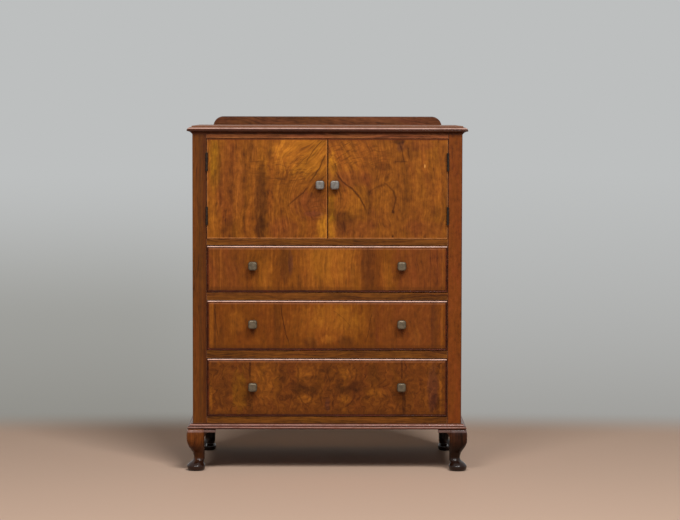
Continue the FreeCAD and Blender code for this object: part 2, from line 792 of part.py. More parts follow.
CLIP_FACE = STOP_FACE + size.catch_setback
CLIP_MIDDLE = STOP_FLOOR - size.catch_metal - size.catch_mouth / 2
clips = []
tongues = {}
for side_name, side in sides:
    clip_x = mirrored(side, size.catch_offset - size.catch_width / 2, size.catch_width)
    arm_gap = size.catch_mouth / 2
    clip_pieces = [
        box(f"clip_upper_{side_name}", clip_x, CLIP_FACE, CLIP_MIDDLE + arm_gap,
            size.catch_width, size.catch_depth, size.catch_metal),
        box(f"clip_lower_{side_name}", clip_x, CLIP_FACE, CLIP_MIDDLE - arm_gap - size.catch_metal,
            size.catch_width, size.catch_depth, size.catch_metal),
        box(f"clip_web_{side_name}", clip_x, CLIP_FACE + size.catch_depth,
            CLIP_MIDDLE - arm_gap - size.catch_metal,
            size.catch_width, size.catch_metal, size.catch_mouth + size.catch_metal * 2),
    ]
    ridge_rise = arm_gap + size.catch_metal - size.catch_ridge_radius
    for ridge_name, ridge_level in (("upper", CLIP_MIDDLE + ridge_rise), ("lower", CLIP_MIDDLE - ridge_rise)):
        clip_pieces.append(rod(f"clip_ridge_{ridge_name}_{side_name}", clip_x,
                               CLIP_FACE + size.catch_ridge_radius, ridge_level,
                               size.catch_ridge_radius, size.catch_width, (1, 0, 0)))
    clips.append(fuse(f"catch_clip_{side_name}", clip_pieces))
    tongue_x = mirrored(side, size.catch_offset - size.tongue_width / 2, size.tongue_width)
    plate_high = STOP_FLOOR - size.catch_metal
    tongues[side_name] = fuse(f"catch_tongue_{side_name}", [
        box(f"tongue_plate_{side_name}", tongue_x, DOOR_BACK, plate_high - size.tongue_plate_height,
            size.tongue_width, size.tongue_plate, size.tongue_plate_height),
        box(f"tongue_blade_{side_name}", tongue_x, DOOR_BACK, CLIP_MIDDLE - size.tongue_plate / 2,
            size.tongue_width, size.tongue_length, size.tongue_plate),
        rod(f"tongue_bulb_{side_name}", tongue_x, DOOR_BACK + size.tongue_length, CLIP_MIDDLE,
            size.tongue_bulb_radius, size.tongue_width, (1, 0, 0)),
    ])
keep(group("catch_clips", clips))

# Doors: flush veneered panels, each with its half of the hinges, a knob and a catch tongue.

for side_name, side in sides:
    near = size.door_meeting_gap / 2
    width = HALF_OPENING - size.door_side_gap - near
    door_low = DOOR_SILL + size.door_foot_gap
    blank = box(f"door_blank_{side_name}", mirrored(side, near, width), FRONT, door_low,
                width, size.door_thickness, size.door_opening - size.door_foot_gap - size.door_head_gap)
    eased = rounded(f"door_eased_{side_name}", blank, size.door_arris_radius,
                    lambda edge: lies_at(edge, 1, FRONT))
    knob_x = size.door_knob_offset * side
    knob_z = DOOR_SILL + size.door_knob_height
    hole = knob_hole(f"door_knob_hole_{side_name}", knob_x, knob_z)
    keep(cut(f"door_panel_{side_name}", eased, door_plates[side_name] + [hole]))
    keep(group(f"hinge_leaves_door_{side_name}", door_leaves[side_name]))
    keep(knob(f"door_knob_{side_name}", knob_x, knob_z))
    keep(tongues[side_name])

# Drawer runners, with a guide strip on each, and the stops that the drawer fronts meet.

openings = (
    ("upper", UPPER_SILL, size.upper_opening, size.upper_rail_height, size.upper_knob_height),
    ("middle", MIDDLE_SILL, size.middle_opening, size.lower_rail_height, size.middle_knob_height),
    ("lower", LOWER_SILL, size.lower_opening, size.bottom_rail_height, size.lower_knob_height),
)
stops = []
for name, sill, opening, rail_height, knob_height in openings:
    run_length = size.carcase_depth - size.rail_depth - size.back_thickness
    runners = []
    for side_name, side in sides:
        bearer = box(f"bearer_{name}_{side_name}", mirrored(side, HALF_OPENING - size.runner_reach,
                                                            SIDE_FACE - HALF_OPENING + size.runner_reach),
                     FRONT + size.rail_depth, sill - rail_height,
                     SIDE_FACE - HALF_OPENING + size.runner_reach, run_length, rail_height)
        guide = box(f"guide_{name}_{side_name}", mirrored(side, HALF_OPENING, SIDE_FACE - HALF_OPENING),
                    FRONT + size.rail_depth, sill, SIDE_FACE - HALF_OPENING, run_length, size.guide_height)
        runners.append(fuse(f"runner_{name}_{side_name}", [bearer, guide]))
        stops.append(box(f"stop_{name}_{side_name}",
                         mirrored(side, size.stop_offset - size.stop_length / 2, size.stop_length),
                         FRONT + size.drawer_front_thickness + size.stop_gap, sill,
                         size.stop_length, size.stop_depth, size.stop_height))
    keep(group(f"runners_{name}", runners))
keep(group("drawer_stops", stops))

# Drawers: lapped dovetails at the front, through dovetails at the back, a panel in grooves,
# and a cock bead let into the edge of the front all round.

front_tail_count = 4
back_tail_count = 3


def dovetails(label, x, shoulder, length, low, high, count, way):
    """Tails along a board's end. way is -1 when they point to the front and 1 to the back."""
    tails = []
    pitch = (high - low) / count
    wide = pitch * size.tail_tip_share
    narrow = pitch * size.tail_root_share
    for number in range(count):
        middle = low + pitch * (number + 0.5)
        tip_low, tip_high = middle - wide / 2, middle + wide / 2
        root_low, root_high = middle - narrow / 2, middle + narrow / 2
        tail = add("Part::Wedge", f"{label}_{number}")
        bind(tail, Xmin=x, X2min=x, Xmax=x + size.drawer_side_thickness, X2max=x + size.drawer_side_thickness)
        if way < 0:
            bind(tail, Ymin=shoulder - length, Ymax=shoulder)
            bind(tail, Zmin=tip_low, Zmax=tip_high, Z2min=root_low, Z2max=root_high)
        else:
            bind(tail, Ymin=shoulder, Ymax=shoulder + length)
            bind(tail, Zmin=root_low, Zmax=root_high, Z2min=tip_low, Z2max=tip_high)
        tails.append(tail)
    return tails


DRAWER_HALF = HALF_OPENING - size.drawer_side_gap
FRONT_BACK = FRONT + size.drawer_front_thickness
DRAWER_END = BACK_FACE - size.drawer_rear_gap
BACK_BOARD = DRAWER_END - size.drawer_back_thickness


def drawer(name, sill, opening, knob_height):
    floor = sill + size.drawer_foot_gap
    height = opening - size.drawer_foot_gap - size.drawer_head_gap
    side_high = floor + height - size.drawer_side_drop
    panel_low = floor + size.drawer_panel_lift
    panel_high = panel_low + size.drawer_panel_thickness
    back_high = floor + height - size.drawer_back_drop
    bead = size.bead_width

    bead_block = box(f"{name}_bead_block", -DRAWER_HALF, FRONT - size.bead_proud, floor,
                     DRAWER_HALF * 2, size.bead_proud + size.bead_depth, height)
    bead_hole = box(f"{name}_bead_hole", -DRAWER_HALF + bead, FRONT - size.bead_proud, floor + bead,
                    (DRAWER_HALF - bead) * 2, size.bead_proud + size.bead_depth, height - bead * 2)
    bead_frame = cut(f"{name}_bead_frame", bead_block, [bead_hole])
    bead_face = FRONT - size.bead_proud
    keep(rounded(f"drawer_{name}_cock_bead", bead_frame, size.bead_round,
                 lambda edge: lies_at(edge, 1, bead_face)))

    panel = keep(box(f"drawer_{name}_bottom", -DRAWER_HALF + size.drawer_side_thickness - size.drawer_groove,
                     FRONT_BACK - size.drawer_groove, panel_low,
                     (DRAWER_HALF - size.drawer_side_thickness + size.drawer_groove) * 2,
                     DRAWER_END - FRONT_BACK + size.drawer_groove, size.drawer_panel_thickness))

    front_tails = []
    back_tails = []
    for side_name, side in sides:
        x = mirrored(side, DRAWER_HALF - size.drawer_side_thickness, size.drawer_side_thickness)
        label = f"{name}_{side_name}"
        board = box(f"side_board_{label}", x, FRONT_BACK, floor, size.drawer_side_thickness,
                    BACK_BOARD - FRONT_BACK, side_high - floor)
        heel = box(f"side_heel_{label}", x, BACK_BOARD, floor, size.drawer_side_thickness,
                   size.drawer_back_thickness, panel_high - floor)
        ahead = dovetails(f"front_tail_{label}", x, FRONT_BACK, size.tail_length,
                          floor, side_high, front_tail_count, -1)
        behind = dovetails(f"back_tail_{label}", x, BACK_BOARD, size.drawer_back_thickness,
                           panel_high, back_high, back_tail_count, 1)
        front_tails += ahead
        back_tails += behind
        blank = fuse(f"side_blank_{label}", [board, heel] + ahead + behind)
        keep(cut(f"drawer_{name}_side_{side_name}", blank, [panel]))

    keep(cut(f"drawer_{name}_back",
             box(f"{name}_back_board", -DRAWER_HALF, BACK_BOARD, panel_high, DRAWER_HALF * 2,
                 size.drawer_back_thickness, back_high - panel_high), back_tails))

    face = box(f"{name}_front_face", -DRAWER_HALF + bead, FRONT, floor + bead,
               (DRAWER_HALF - bead) * 2, size.drawer_front_thickness, height - bead * 2)
    backing = box(f"{name}_front_backing", -DRAWER_HALF, FRONT + size.bead_depth, floor,
                  DRAWER_HALF * 2, size.drawer_front_thickness - size.bead_depth, height)
    knob_z = sill + knob_height
    holes = [knob_hole(f"{name}_knob_hole_{side_name}", size.drawer_knob_offset * side, knob_z)
             for side_name, side in sides]
    front_blank = fuse(f"{name}_front_blank", [face, backing])
    keep(cut(f"drawer_{name}_front", front_blank, front_tails + [panel] + holes))
    keep(group(f"drawer_{name}_knobs", [
        knob(f"{name}_knob_{side_name}", size.drawer_knob_offset * side, knob_z)
        for side_name, side in sides
    ]))


for name, sill, opening, rail_height, knob_height in openings:
    drawer(name, sill, opening, knob_height)

# Check the document, then write each piece.

doc.recompute()
faults = [f"{item.Label}: {', '.join(item.State)}" for item in doc.Objects
          if "Invalid" in item.State or "Error" in item.State]
for piece in parts:
    if piece.Shape.isNull() or not piece.Shape.isValid() or not piece.Shape.Solids:
        faults.append(f"{piece.Label}: its shape is empty or not valid")
if faults:
    raise RuntimeError("; ".join(faults))

os.makedirs("parts", exist_ok=True)
for piece in parts:
    piece.Shape.exportStep(os.path.join("parts", piece.Label + ".step"))
print(len(parts), "pieces,", sum(len(piece.Shape.Solids) for piece in parts), "solids")
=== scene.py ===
# %% [markdown]
# # A walnut tallboy
# A cupboard over three drawers, in figured walnut veneer, on four short cabriole legs. The pieces come
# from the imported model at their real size. This lesson gives them their finish, carves the legs, adds
# the small screws that the model leaves out, and sets up the camera and the light.

# %% Load the pieces
import math
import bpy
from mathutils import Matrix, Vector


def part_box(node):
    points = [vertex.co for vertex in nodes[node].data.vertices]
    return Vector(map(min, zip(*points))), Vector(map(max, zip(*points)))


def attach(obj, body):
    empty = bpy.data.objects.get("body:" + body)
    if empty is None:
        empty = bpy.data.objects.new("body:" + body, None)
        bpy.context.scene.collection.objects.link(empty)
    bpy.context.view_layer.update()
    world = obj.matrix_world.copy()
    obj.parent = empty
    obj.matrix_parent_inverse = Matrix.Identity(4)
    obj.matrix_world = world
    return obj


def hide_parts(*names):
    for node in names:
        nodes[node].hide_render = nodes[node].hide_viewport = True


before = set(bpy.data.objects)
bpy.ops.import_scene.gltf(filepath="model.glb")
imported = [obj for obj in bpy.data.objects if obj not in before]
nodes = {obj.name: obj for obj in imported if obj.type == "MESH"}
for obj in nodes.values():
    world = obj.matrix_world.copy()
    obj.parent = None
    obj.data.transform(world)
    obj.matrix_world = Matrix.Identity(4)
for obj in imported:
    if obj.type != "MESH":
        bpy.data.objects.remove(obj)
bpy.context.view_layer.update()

from fnmatch import fnmatch
from types import SimpleNamespace

import bmesh
import bpy
from mathutils import Matrix, Vector

scene = bpy.context.scene
print(len(nodes), "pieces from the model")

# %% [markdown]
# ## Camera
# The photograph was taken from far off, square to the front and a little above the top. The camera's
# distance, height and tilt were worked out from the edges of the front and the feet. A long lens keeps
# the uprights nearly parallel, as they are in the picture.

# %% Camera
camera_place = Vector((0.0026, -6.9588, 1.0321))
tilt_down, turn_right, roll_left = (math.radians(angle) for angle in (3.6576, 0.2838, 0.1116))

camera_data = bpy.data.cameras.new("camera")
camera_data.sensor_width = 36
camera_data.lens = 126.63
camera_data.clip_end = 60
camera = bpy.data.objects.new("camera", camera_data)
scene.collection.objects.link(camera)
turn = Matrix.Rotation(-turn_right, 4, "Z")
tilt = Matrix.Rotation(math.pi / 2 - tilt_down, 4, "X")
roll = Matrix.Rotation(roll_left, 4, "Z")
camera.matrix_world = Matrix.Translation(camera_place) @ turn @ tilt @ roll
scene.camera = camera
print("lens", camera_data.lens, "mm")

# %% [markdown]
# ## Short ways to write shader maths
# A wood finish is many small sums on the place of a point, and wiring them by hand is slow to read.
# Here the node tree being built lies on a bench, and the helpers add their nodes to it. What they hand
# back can be added and multiplied like a number, and each sign adds a node.

# %% Node helpers
bench = SimpleNamespace(tree=None)


def sign(operation):
    """What a sign between values stands for."""
    return lambda *values: calc(operation, *values)


class Value:
    """What a node puts out."""
    __add__, __sub__, __mul__ = sign("ADD"), sign("SUBTRACT"), sign("MULTIPLY")
    __truediv__, __pow__, __abs__ = sign("DIVIDE"), sign("POWER"), sign("ABSOLUTE")

    def __init__(self, socket):
        self.socket = socket


def feed(socket, value):
    """Link a value to a socket, or set the socket to a plain number or colour."""
    if isinstance(value, Value):
        bench.tree.links.new(value.socket, socket)
    else:
        socket.default_value = (*value, 1) if socket.type == "RGBA" else value


def put(kind, inputs=None, **settings):
    """Add a node to the tree on the bench, set its options and feed its inputs by name or number."""
    node = bench.tree.nodes.new(kind)
    for name, value in settings.items():
        setattr(node, name, value)
    for name, value in (inputs or {}).items():
        feed(node.inputs[name], value)
    return node


def fill(node, **values):
    """Feed more of a node's inputs. Underscores stand for spaces in their names."""
    for name, value in values.items():
        feed(node.inputs[name.replace("_", " ")], value)


def value_of(kind, inputs=None, output=0, **settings):
    """Add a node and hand back one of its outputs."""
    return Value(put(kind, inputs, **settings).outputs[output])


def calc(operation, *values):
    return value_of("ShaderNodeMath", dict(enumerate(values)), operation=operation)


def rise(value, low, high):
    """0 below low and 1 above high, with a smooth step between. It falls when high is under low."""
    ends = {"Value": value, "From Min": low, "From Max": high}
    return value_of("ShaderNodeMapRange", ends, interpolation_type="SMOOTHSTEP")


def here():
    """The place of a point in the model's frame, which moves with the piece."""
    return value_of("ShaderNodeTexCoord", output="Object")


def place_of_point():
    """The three coordinates of that place."""
    return [Value(output) for output in put("ShaderNodeSeparateXYZ", {0: here()}).outputs]


def point(x, y, z=0):
    return value_of("ShaderNodeCombineXYZ", {"X": x, "Y": y, "Z": z})


def cloud(vector, scale=1, detail=2, roughness=0.5):
    """Soft random values around a half."""
    inputs = {"Vector": vector, "Scale": scale, "Detail": detail, "Roughness": roughness}
    return value_of("ShaderNodeTexNoise", inputs)


def sway(vector, scale, amount, detail=2):
    """Soft random values around zero, as large as the amount."""
    return (cloud(vector, scale, detail) - 0.5) * amount


def stretched_cloud(across, along, across_scale, along_scale, seed, detail=2):
    """Noise drawn out along the grain. The seed picks another cut of the same noise."""
    return cloud(point(across * across_scale, along * along_scale, seed), 1, detail, 0.55)


def mix(amount, first, second, mode="MIX"):
    """Blend two colours, or multiply the first by the second where the mask is."""
    return value_of("ShaderNodeMix", {0: amount, 6: first, 7: second}, 2, data_type="RGBA", blend_type=mode)


def paint(red, green, blue):
    """A colour as read off a screen, 0 to 255, turned into the linear values that shaders use."""
    shares = (value / 255 for value in (red, green, blue))
    return tuple(share / 12.92 if share <= 0.04045 else ((share + 0.055) / 1.055) ** 2.4 for share in shares)


print("helpers ready")

# %% Group helpers
def new_group(name, inputs, **outputs):
    """Put a new node group on the bench. Each input has a number or a colour, each output its kind."""
    bench.tree = bpy.data.node_groups.new(name, "ShaderNodeTree")
    for title, value in inputs.items():
        kind, value = ("Color", (*value, 1)) if isinstance(value, tuple) else ("Float", value)
        socket = bench.tree.interface.new_socket(title, in_out="INPUT", socket_type="NodeSocket" + kind)
        socket.default_value = value
    for title, kind in outputs.items():
        bench.tree.interface.new_socket(title, in_out="OUTPUT", socket_type="NodeSocket" + kind)
    given = put("NodeGroupInput").outputs
    return bench.tree, {title: Value(given[title]) for title in inputs}, put("NodeGroupOutput").inputs


def use(group, **values):
    """Place a group with its own values and hand back its outputs, or the only one."""
    node = put("ShaderNodeGroup", node_tree=group)
    fill(node, **values)
    outputs = [Value(socket) for socket in node.outputs]
    return outputs if len(outputs) > 1 else outputs[0]


print("group helpers ready")

# %% [markdown]
# ## The figure of walnut
# Walnut shows broad light and dark bands, finer streaks, thin dark growth lines and short open pores,
# all along the grain, and its hue drifts between red and olive. These could be drawn as waves, but
# waves repeat. Here two numbers say where a point lies in the wood, across the grain and along it, and
# noise that is stretched along the grain gives streaks of uneven width. Whatever bends the first
# number bends the whole figure.

# %% Walnut figure group
reddish = (1.04, 0.84, 1.2)
olive = (0.93, 1.05, 0.62)
walnut, given, result = new_group(
    "walnut figure",
    {"Across": 0, "Along": 0, "Bands": 30, "Contrast": 1, "Fine": 1, "Mottle": 0.3, "Hue": 0.5,
     "Lines": 0.5, "Light": (0.3, 0.1, 0.02), "Middle": (0.2, 0.06, 0.01), "Dark": (0.08, 0.03, 0.005)},
    Colour="Color", Height="Float")
across, along, dark = given["Across"], given["Along"], given["Dark"]
banded = across * given["Bands"]
wide = cloud(point(banded, along * 1.6))
streak = stretched_cloud(across, along, 130, 4.5, 3, 3)
hair = stretched_cloud(across, along, 420, 16, 7)
spots = stretched_cloud(across, along, 95, 55, 17, 3)
lightness = (wide - 0.5) * given["Contrast"] * 1.5
lightness += ((hair - 0.5) * 1.3 + streak - 0.5) * given["Fine"]
lightness += (spots - 0.5) * given["Mottle"] * 2
wood = mix(rise(lightness, -0.4, 0.04), dark, given["Middle"])
wood = mix(rise(lightness, -0.04, 0.4), wood, given["Light"])
hue = stretched_cloud(across, along, 30, 6, 13, 3)
wood = mix(rise(hue, 0.48, 0.7) * given["Hue"], wood, reddish, "MULTIPLY")
wood = mix(rise(hue, 0.52, 0.3) * given["Hue"], wood, olive, "MULTIPLY")
growth = cloud(point(banded, along * 2.2, 9), 2.3, 3)
wood = mix(rise(abs(growth - 0.5), 0.03, 0) * given["Lines"], wood, dark)
pore = rise(stretched_cloud(across, along, 2600, 160, 5, 1), 0.62, 0.74)
feed(result["Colour"], mix(pore * 0.4, wood, dark))
feed(result["Height"], pore * -0.8 + 1)
print("group", walnut.name, "with", len(walnut.nodes), "nodes")

# %% [markdown]
# ## Lines along edges
# A bead or a moulding shines along one line, and dirt gathers in the corner beside it. Both lie at a
# known height, so one group draws a soft level line, broken up a little by noise. Given the place
# across instead of the height, it draws the upright lines beside a door's edge.

# %% Level line group
level_line, given, result = new_group(
    "level line", {"Value": 0, "Centre": 0, "Half Width": 0.001, "Breaks": 0.3}, Mask="Float")
share = abs(given["Value"] - given["Centre"]) / given["Half Width"]
whole = rise(cloud(here(), 48, 3), 0.34, 0.56)
feed(result["Mask"], rise(share, 1.35, 0.65) * ((whole - 1) * given["Breaks"] + 1))
print("group", level_line.name)

# %% [markdown]
# ## Patches and veins
# Figured veneer has its accents in known places, and these two groups put them there. A patch is a
# soft oval with a ragged outline: it bends the grain round a knot, or tints an area. A vein is a thin
# dark line that starts at a point, runs off at an angle and bends as it goes.

# %% Patch group
patch, given, result = new_group(
    "patch", {"Across": 0, "Up": 0, "Ragged": 0, "Centre Across": 0, "Centre Up": 0,
              "Half Width": 0.05, "Half Height": 0.05}, Mask="Float")
aside = (given["Across"] - given["Centre Across"]) / given["Half Width"]
above = (given["Up"] - given["Centre Up"]) / given["Half Height"]
feed(result["Mask"], rise(aside * aside + above * above + given["Ragged"], 2, 0.3))
print("group", patch.name)

# %% Vein group
vein, given, result = new_group(
    "vein", {"Across": 0, "Up": 0, "Wobble": 0, "Start Across": 0, "Start Up": 0, "Angle": 0,
             "Bend": 0, "Length": 0.1, "Half Width": 0.002}, Mask="Float")
from_across, from_up = given["Across"] - given["Start Across"], given["Up"] - given["Start Up"]
cosine, sine = calc("COSINE", given["Angle"]), calc("SINE", given["Angle"])
run = from_across * cosine + from_up * sine
aside = from_up * cosine - from_across * sine + given["Bend"] * run * run + given["Wobble"]
core = rise(abs(aside / given["Half Width"]), 1.6, 0.2)
feed(result["Mask"], core * rise(run, -0.004, 0.006) * rise(run, given["Length"], given["Length"] * 0.75))
print("group", vein.name)

# %% [markdown]
# ## Wear and old polish
# Edges that hands and dusters rub lose their stain and show paler wood. The bevel node finds them: it
# rounds the normal near an edge, so there it differs from the true normal. A second group makes the
# polish duller in places, as old shellac is.

# %% Edge wear and polish groups
wear, given, result = new_group("edge wear", {"Radius": 0.001, "Amount": 1}, Mask="Float")
rounded_normal = value_of("ShaderNodeBevel", {"Radius": given["Radius"]}, samples=6)
true_normal = value_of("ShaderNodeNewGeometry", output="Normal")
normals = {0: rounded_normal, 1: true_normal}
agreement = value_of("ShaderNodeVectorMath", normals, "Value", operation="DOT_PRODUCT")
broken = rise(cloud(here(), 60, 3), 0.3, 0.62)
feed(result["Mask"], rise(agreement, 0.995, 0.9) * broken * given["Amount"])

polish, given, result = new_group("old polish", {"Gloss": 0.3, "Spread": 0.12}, Roughness="Float")
slow, fine = cloud(here(), 7, 4, 0.6) - 0.5, cloud(here(), 220) - 0.5
feed(result["Roughness"], (fine * 0.35 + slow) * given["Spread"] + given["Gloss"])
print("groups", wear.name, "and", polish.name)

# %% [markdown]
# ## A wood finish
# Every wooden piece is made the same way: a colour from the figure, worn edges, a roughness from the
# old polish and a very small bump from the pores. One function builds that material round a colour,
# so each piece only has to say how its grain runs.

# %% Wood finish
worn_wood = paint(178, 124, 90)


def start_material(name):
    """Put a new material on the bench and hand it back with its shader."""
    material = bpy.data.materials.new(name)
    material.use_nodes = True
    bench.tree = material.node_tree
    bench.tree.nodes.clear()
    surface = put("ShaderNodeBsdfPrincipled")
    put("ShaderNodeOutputMaterial", {"Surface": Value(surface.outputs[0])})
    return material, surface


def add_lines(colour, value, rows):
    """Lines at set values of one coordinate. A row is colour, strength, centre, half width, breaks."""
    for tint, strength, centre, half_width, breaks in rows:
        mask = use(level_line, Value=value, Centre=centre, Half_Width=half_width, Breaks=breaks)
        colour = mix(mask * strength, colour, tint)
    return colour


def finish_wood(surface, colour, height, gloss=0.36, coat=0.05, shine=0.1, wear_amount=0.5):
    """Worn edges, polish and pores on a wood colour. The coat may be a number or a mask."""
    edges = use(wear, Radius=0.0016, Amount=wear_amount)
    bump = value_of("ShaderNodeBump", {"Height": height, "Strength": 0.25, "Distance": 0.0002})
    fill(surface, Base_Color=mix(edges, colour, worn_wood), Roughness=use(polish, Gloss=gloss), Normal=bump,
         Coat_Weight=coat, Coat_Roughness=0.14, Specular_IOR_Level=shine)


def walnut_figure(across, along, tones, **values):
    """The figure's colour and height from three screen colours: light, middle and dark."""
    light, middle, dark = (paint(*tone) for tone in tones)
    return use(walnut, Across=across, Along=along, Light=light, Middle=middle, Dark=dark, **values)


def lean_on(place, weights):
    """A weighted sum of the coordinates, with a slow drift so that no line is quite straight."""
    total = sway(here(), 5, 0.05)
    for coordinate, weight in zip(place, weights):
        if weight:
            total += coordinate * weight
    return total


def dress(material, pieces):
    """Give pieces of the model a material, in their own slots. A star stands for any letters."""
    for name in nodes:
        if any(fnmatch(name, piece) for piece in pieces.split()):
            for slot in nodes[name].material_slots:
                slot.material = material


def plain_wood(name, pieces, along, weights, tones, bands=26, contrast=1, fine=1, lines=0.4, hue=0.5,
               mottle=0.2, marks={}, coat_below=None, **finish):
    """Plain cut wood. along is the axis of the grain, and the weights say how the others count. marks
    has rows of lines for an axis, and coat_below is the height above which there is no coat."""
    material, surface = start_material(name)
    place = place_of_point()
    axes = dict(zip("XYZ", place))
    figure = {"Bands": bands, "Contrast": contrast, "Fine": fine, "Mottle": mottle, "Hue": hue}
    colour, height = walnut_figure(lean_on(place, weights), axes[along], tones, Lines=lines, **figure)
    for axis in marks:
        colour = add_lines(colour, axes[axis], marks[axis])
    if coat_below:
        finish["coat"] = rise(axes["Z"], coat_below, coat_below - 0.0005) * finish["coat"]
    finish_wood(surface, colour, height, **finish)
    dress(material, pieces)


print("wood finish ready")

# %% [markdown]
# ## Carcase
# The frame is plain walnut with its grain along each member. The rails are yellower, the right stile is
# redder than the left, and the top and gallery are darker, because each board took the stain in its
# own way. The right stile is also lighter than the left, partly as painted light, and the top rail is a
# lighter copy of the rails, painted light over the shadow under the top. The top and the mouldings
# have painted highlights along their upper rounds and painted shade in their hollows.

# %% Rails and stiles
# Painted shade for the gaps between parts.
painted_gap_shade = paint(40, 14, 8)
opening_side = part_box("front_stile_right")[0].x
outer_side = 0.381
rail_cut = {"bands": 60, "contrast": 0.6, "mottle": 0.3}
plain_wood("rail_walnut", "door_rail drawer_rail_* bottom_rail", "X", (0, 0.6, 1),
           ((124, 73, 23), (101, 57, 16), (62, 31, 9)), **rail_cut)
# The top rail is a lighter copy of the rail wood: painted light over the shadow under the top.
plain_wood("rail_walnut_top_lightened", "top_rail", "X", (0, 0.6, 1),
           ((158, 97, 53), (136, 78, 40), (92, 50, 23)), wear_amount=0.3, **rail_cut)
# Painted shade in the gap along each stile's inner edge, and on the right stile along its outer edge.
left_marks = ((painted_gap_shade, 0.75, -opening_side, 0.0022, 0.1),
              (paint(70, 32, 12), 0.5, -opening_side - 0.005, 0.006, 0.3),
              (paint(70, 40, 16), 0.5, -opening_side - 0.018, 0.004, 0.4))
right_marks = ((painted_gap_shade, 0.75, opening_side, 0.0022, 0.1), (paint(58, 26, 20), 0.6, outer_side, 0.0022, 0.1))
plain_wood("stile_walnut_left", "front_stile_left", "Z", (1, 0.6, 0),
           ((118, 66, 20), (100, 53, 15), (64, 32, 10)), bands=50, contrast=0.35, fine=0.9,
           lines=0.15, mottle=0.2, marks={"X": left_marks})
# The right stile is lighter than the left as well as redder: partly painted light.
plain_wood("stile_walnut_right", "front_stile_right", "Z", (1, 0.6, 0),
           ((132, 67, 24), (116, 58, 16), (86, 40, 11)), bands=30, contrast=0.3, fine=0.45,
           lines=0.1, mottle=0.5, marks={"X": right_marks})
print("opening side at", round(opening_side, 4))

# %% Top, gallery and base moulding
# Painted shade for hollows, undersides and the edges beside them.
painted_shade = paint(52, 25, 12)
top_low, top_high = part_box("top_board")
# Painted light on the top's front edge: a pale reflection on the top face, painted shade under the nose and a
# painted highlight on the thumb round.
top_lines = ((paint(140, 94, 70), 0.75, top_high.z, 0.0045, 0.2),
             (painted_shade, 0.75, top_low.z + 0.009, 0.0045, 0),
             (paint(206, 166, 150), 0.9, top_high.z - 0.0068, 0.0013, 0.25))
base_low, base_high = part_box("base_moulding_front")
# Painted highlights on the base moulding's two rounds, and painted shade at its top, foot and middle hollow.
base_painted_highlight = paint(176, 132, 118)
base_lines = ((painted_shade, 0.7, base_high.z, 0.0018, 0), (painted_shade, 0.8, base_low.z, 0.0026, 0),
              (painted_shade, 0.5, (base_low.z + base_high.z) / 2, 0.002, 0.2),
              (base_painted_highlight, 0.8, base_high.z - 0.004, 0.0013, 0.4),
              (base_painted_highlight, 0.8, base_low.z + 0.0052, 0.0012, 0.4))
# Painted shade along the gallery's top edge.
gallery_lines = ((painted_shade, 0.6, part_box("gallery_board")[1].z, 0.0022, 0),)
plain_wood("top_walnut", "top_board", "X", (0, 1, 1),
           ((104, 60, 38), (86, 47, 28), (54, 26, 14)), marks={"Z": top_lines}, coat=0.25,
           coat_below=top_high.z - 0.002, shine=0.04, wear_amount=0.1)
plain_wood("gallery_walnut", "gallery_board", "X", (0.12, 1, 1),
           ((120, 70, 40), (100, 56, 29), (68, 34, 14)), bands=30, contrast=0.5, mottle=0.4,
           marks={"Z": gallery_lines}, wear_amount=0.2)
for name, pieces, along, weights in (
        ("moulding_walnut", "base_moulding_front", "X", (0, 1, 1)),
        ("moulding_walnut_returns", "base_moulding_left base_moulding_right", "Y", (1, 0, 1))):
    plain_wood(name, pieces, along, weights, ((120, 66, 46), (98, 52, 36), (56, 26, 16)), bands=80,
               marks={"Z": base_lines}, coat=0.2, shine=0.1, wear_amount=0.1)
print("top and mouldings dressed")

# %% [markdown]
# ## Sides
# Each side is a veneered panel: quiet crown-cut walnut outside, and inside, where nobody looks, the
# plain pale wood of the core. The material asks how far out a point lies and shows one or the other.

# %% Side panels
panel_thick = 0.012
crown_middle = 0.03
inside_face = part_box("side_panel_right")[0].x + panel_thick
pale_tones = ((205, 168, 118), (184, 144, 94), (144, 104, 62))
side_wood, surface = start_material("side_veneer")
x, y, z = place_of_point()
bowed = lean_on((x, y, z), (0, 0.35, 0)) + z * -0.05 + abs(y - crown_middle) ** 1.5 * 2.6
side_tones = ((136, 78, 29), (112, 60, 21), (76, 39, 14))
veneer, height = walnut_figure(bowed, z, side_tones, Bands=34, Contrast=0.7, Lines=0.35)
core_wood = walnut_figure(y, z, pale_tones, Bands=26, Contrast=0.6, Hue=0.15, Lines=0.2)[0]
outside = rise(abs(x), inside_face - 0.0004, inside_face)
finish_wood(surface, mix(outside, core_wood, veneer), height)
dress(side_wood, "side_panel_*")
print("inside face of the sides at", round(inside_face, 4))

# %% [markdown]
# ## Legs
# Cabriole legs are carved by eye. The knee stands out, the shin keeps its width far down and runs into
# the ankle in one sweep, and the pad foot swells out with no seam. A bent bar would be quick, but its
# inner faces, which stay straight, would bend too. Here a skin is laid over level sections, each a
# rounded square. A table says in millimetres how far its inner and outer faces lie from the corner of
# the case, and then how flat its sides are.

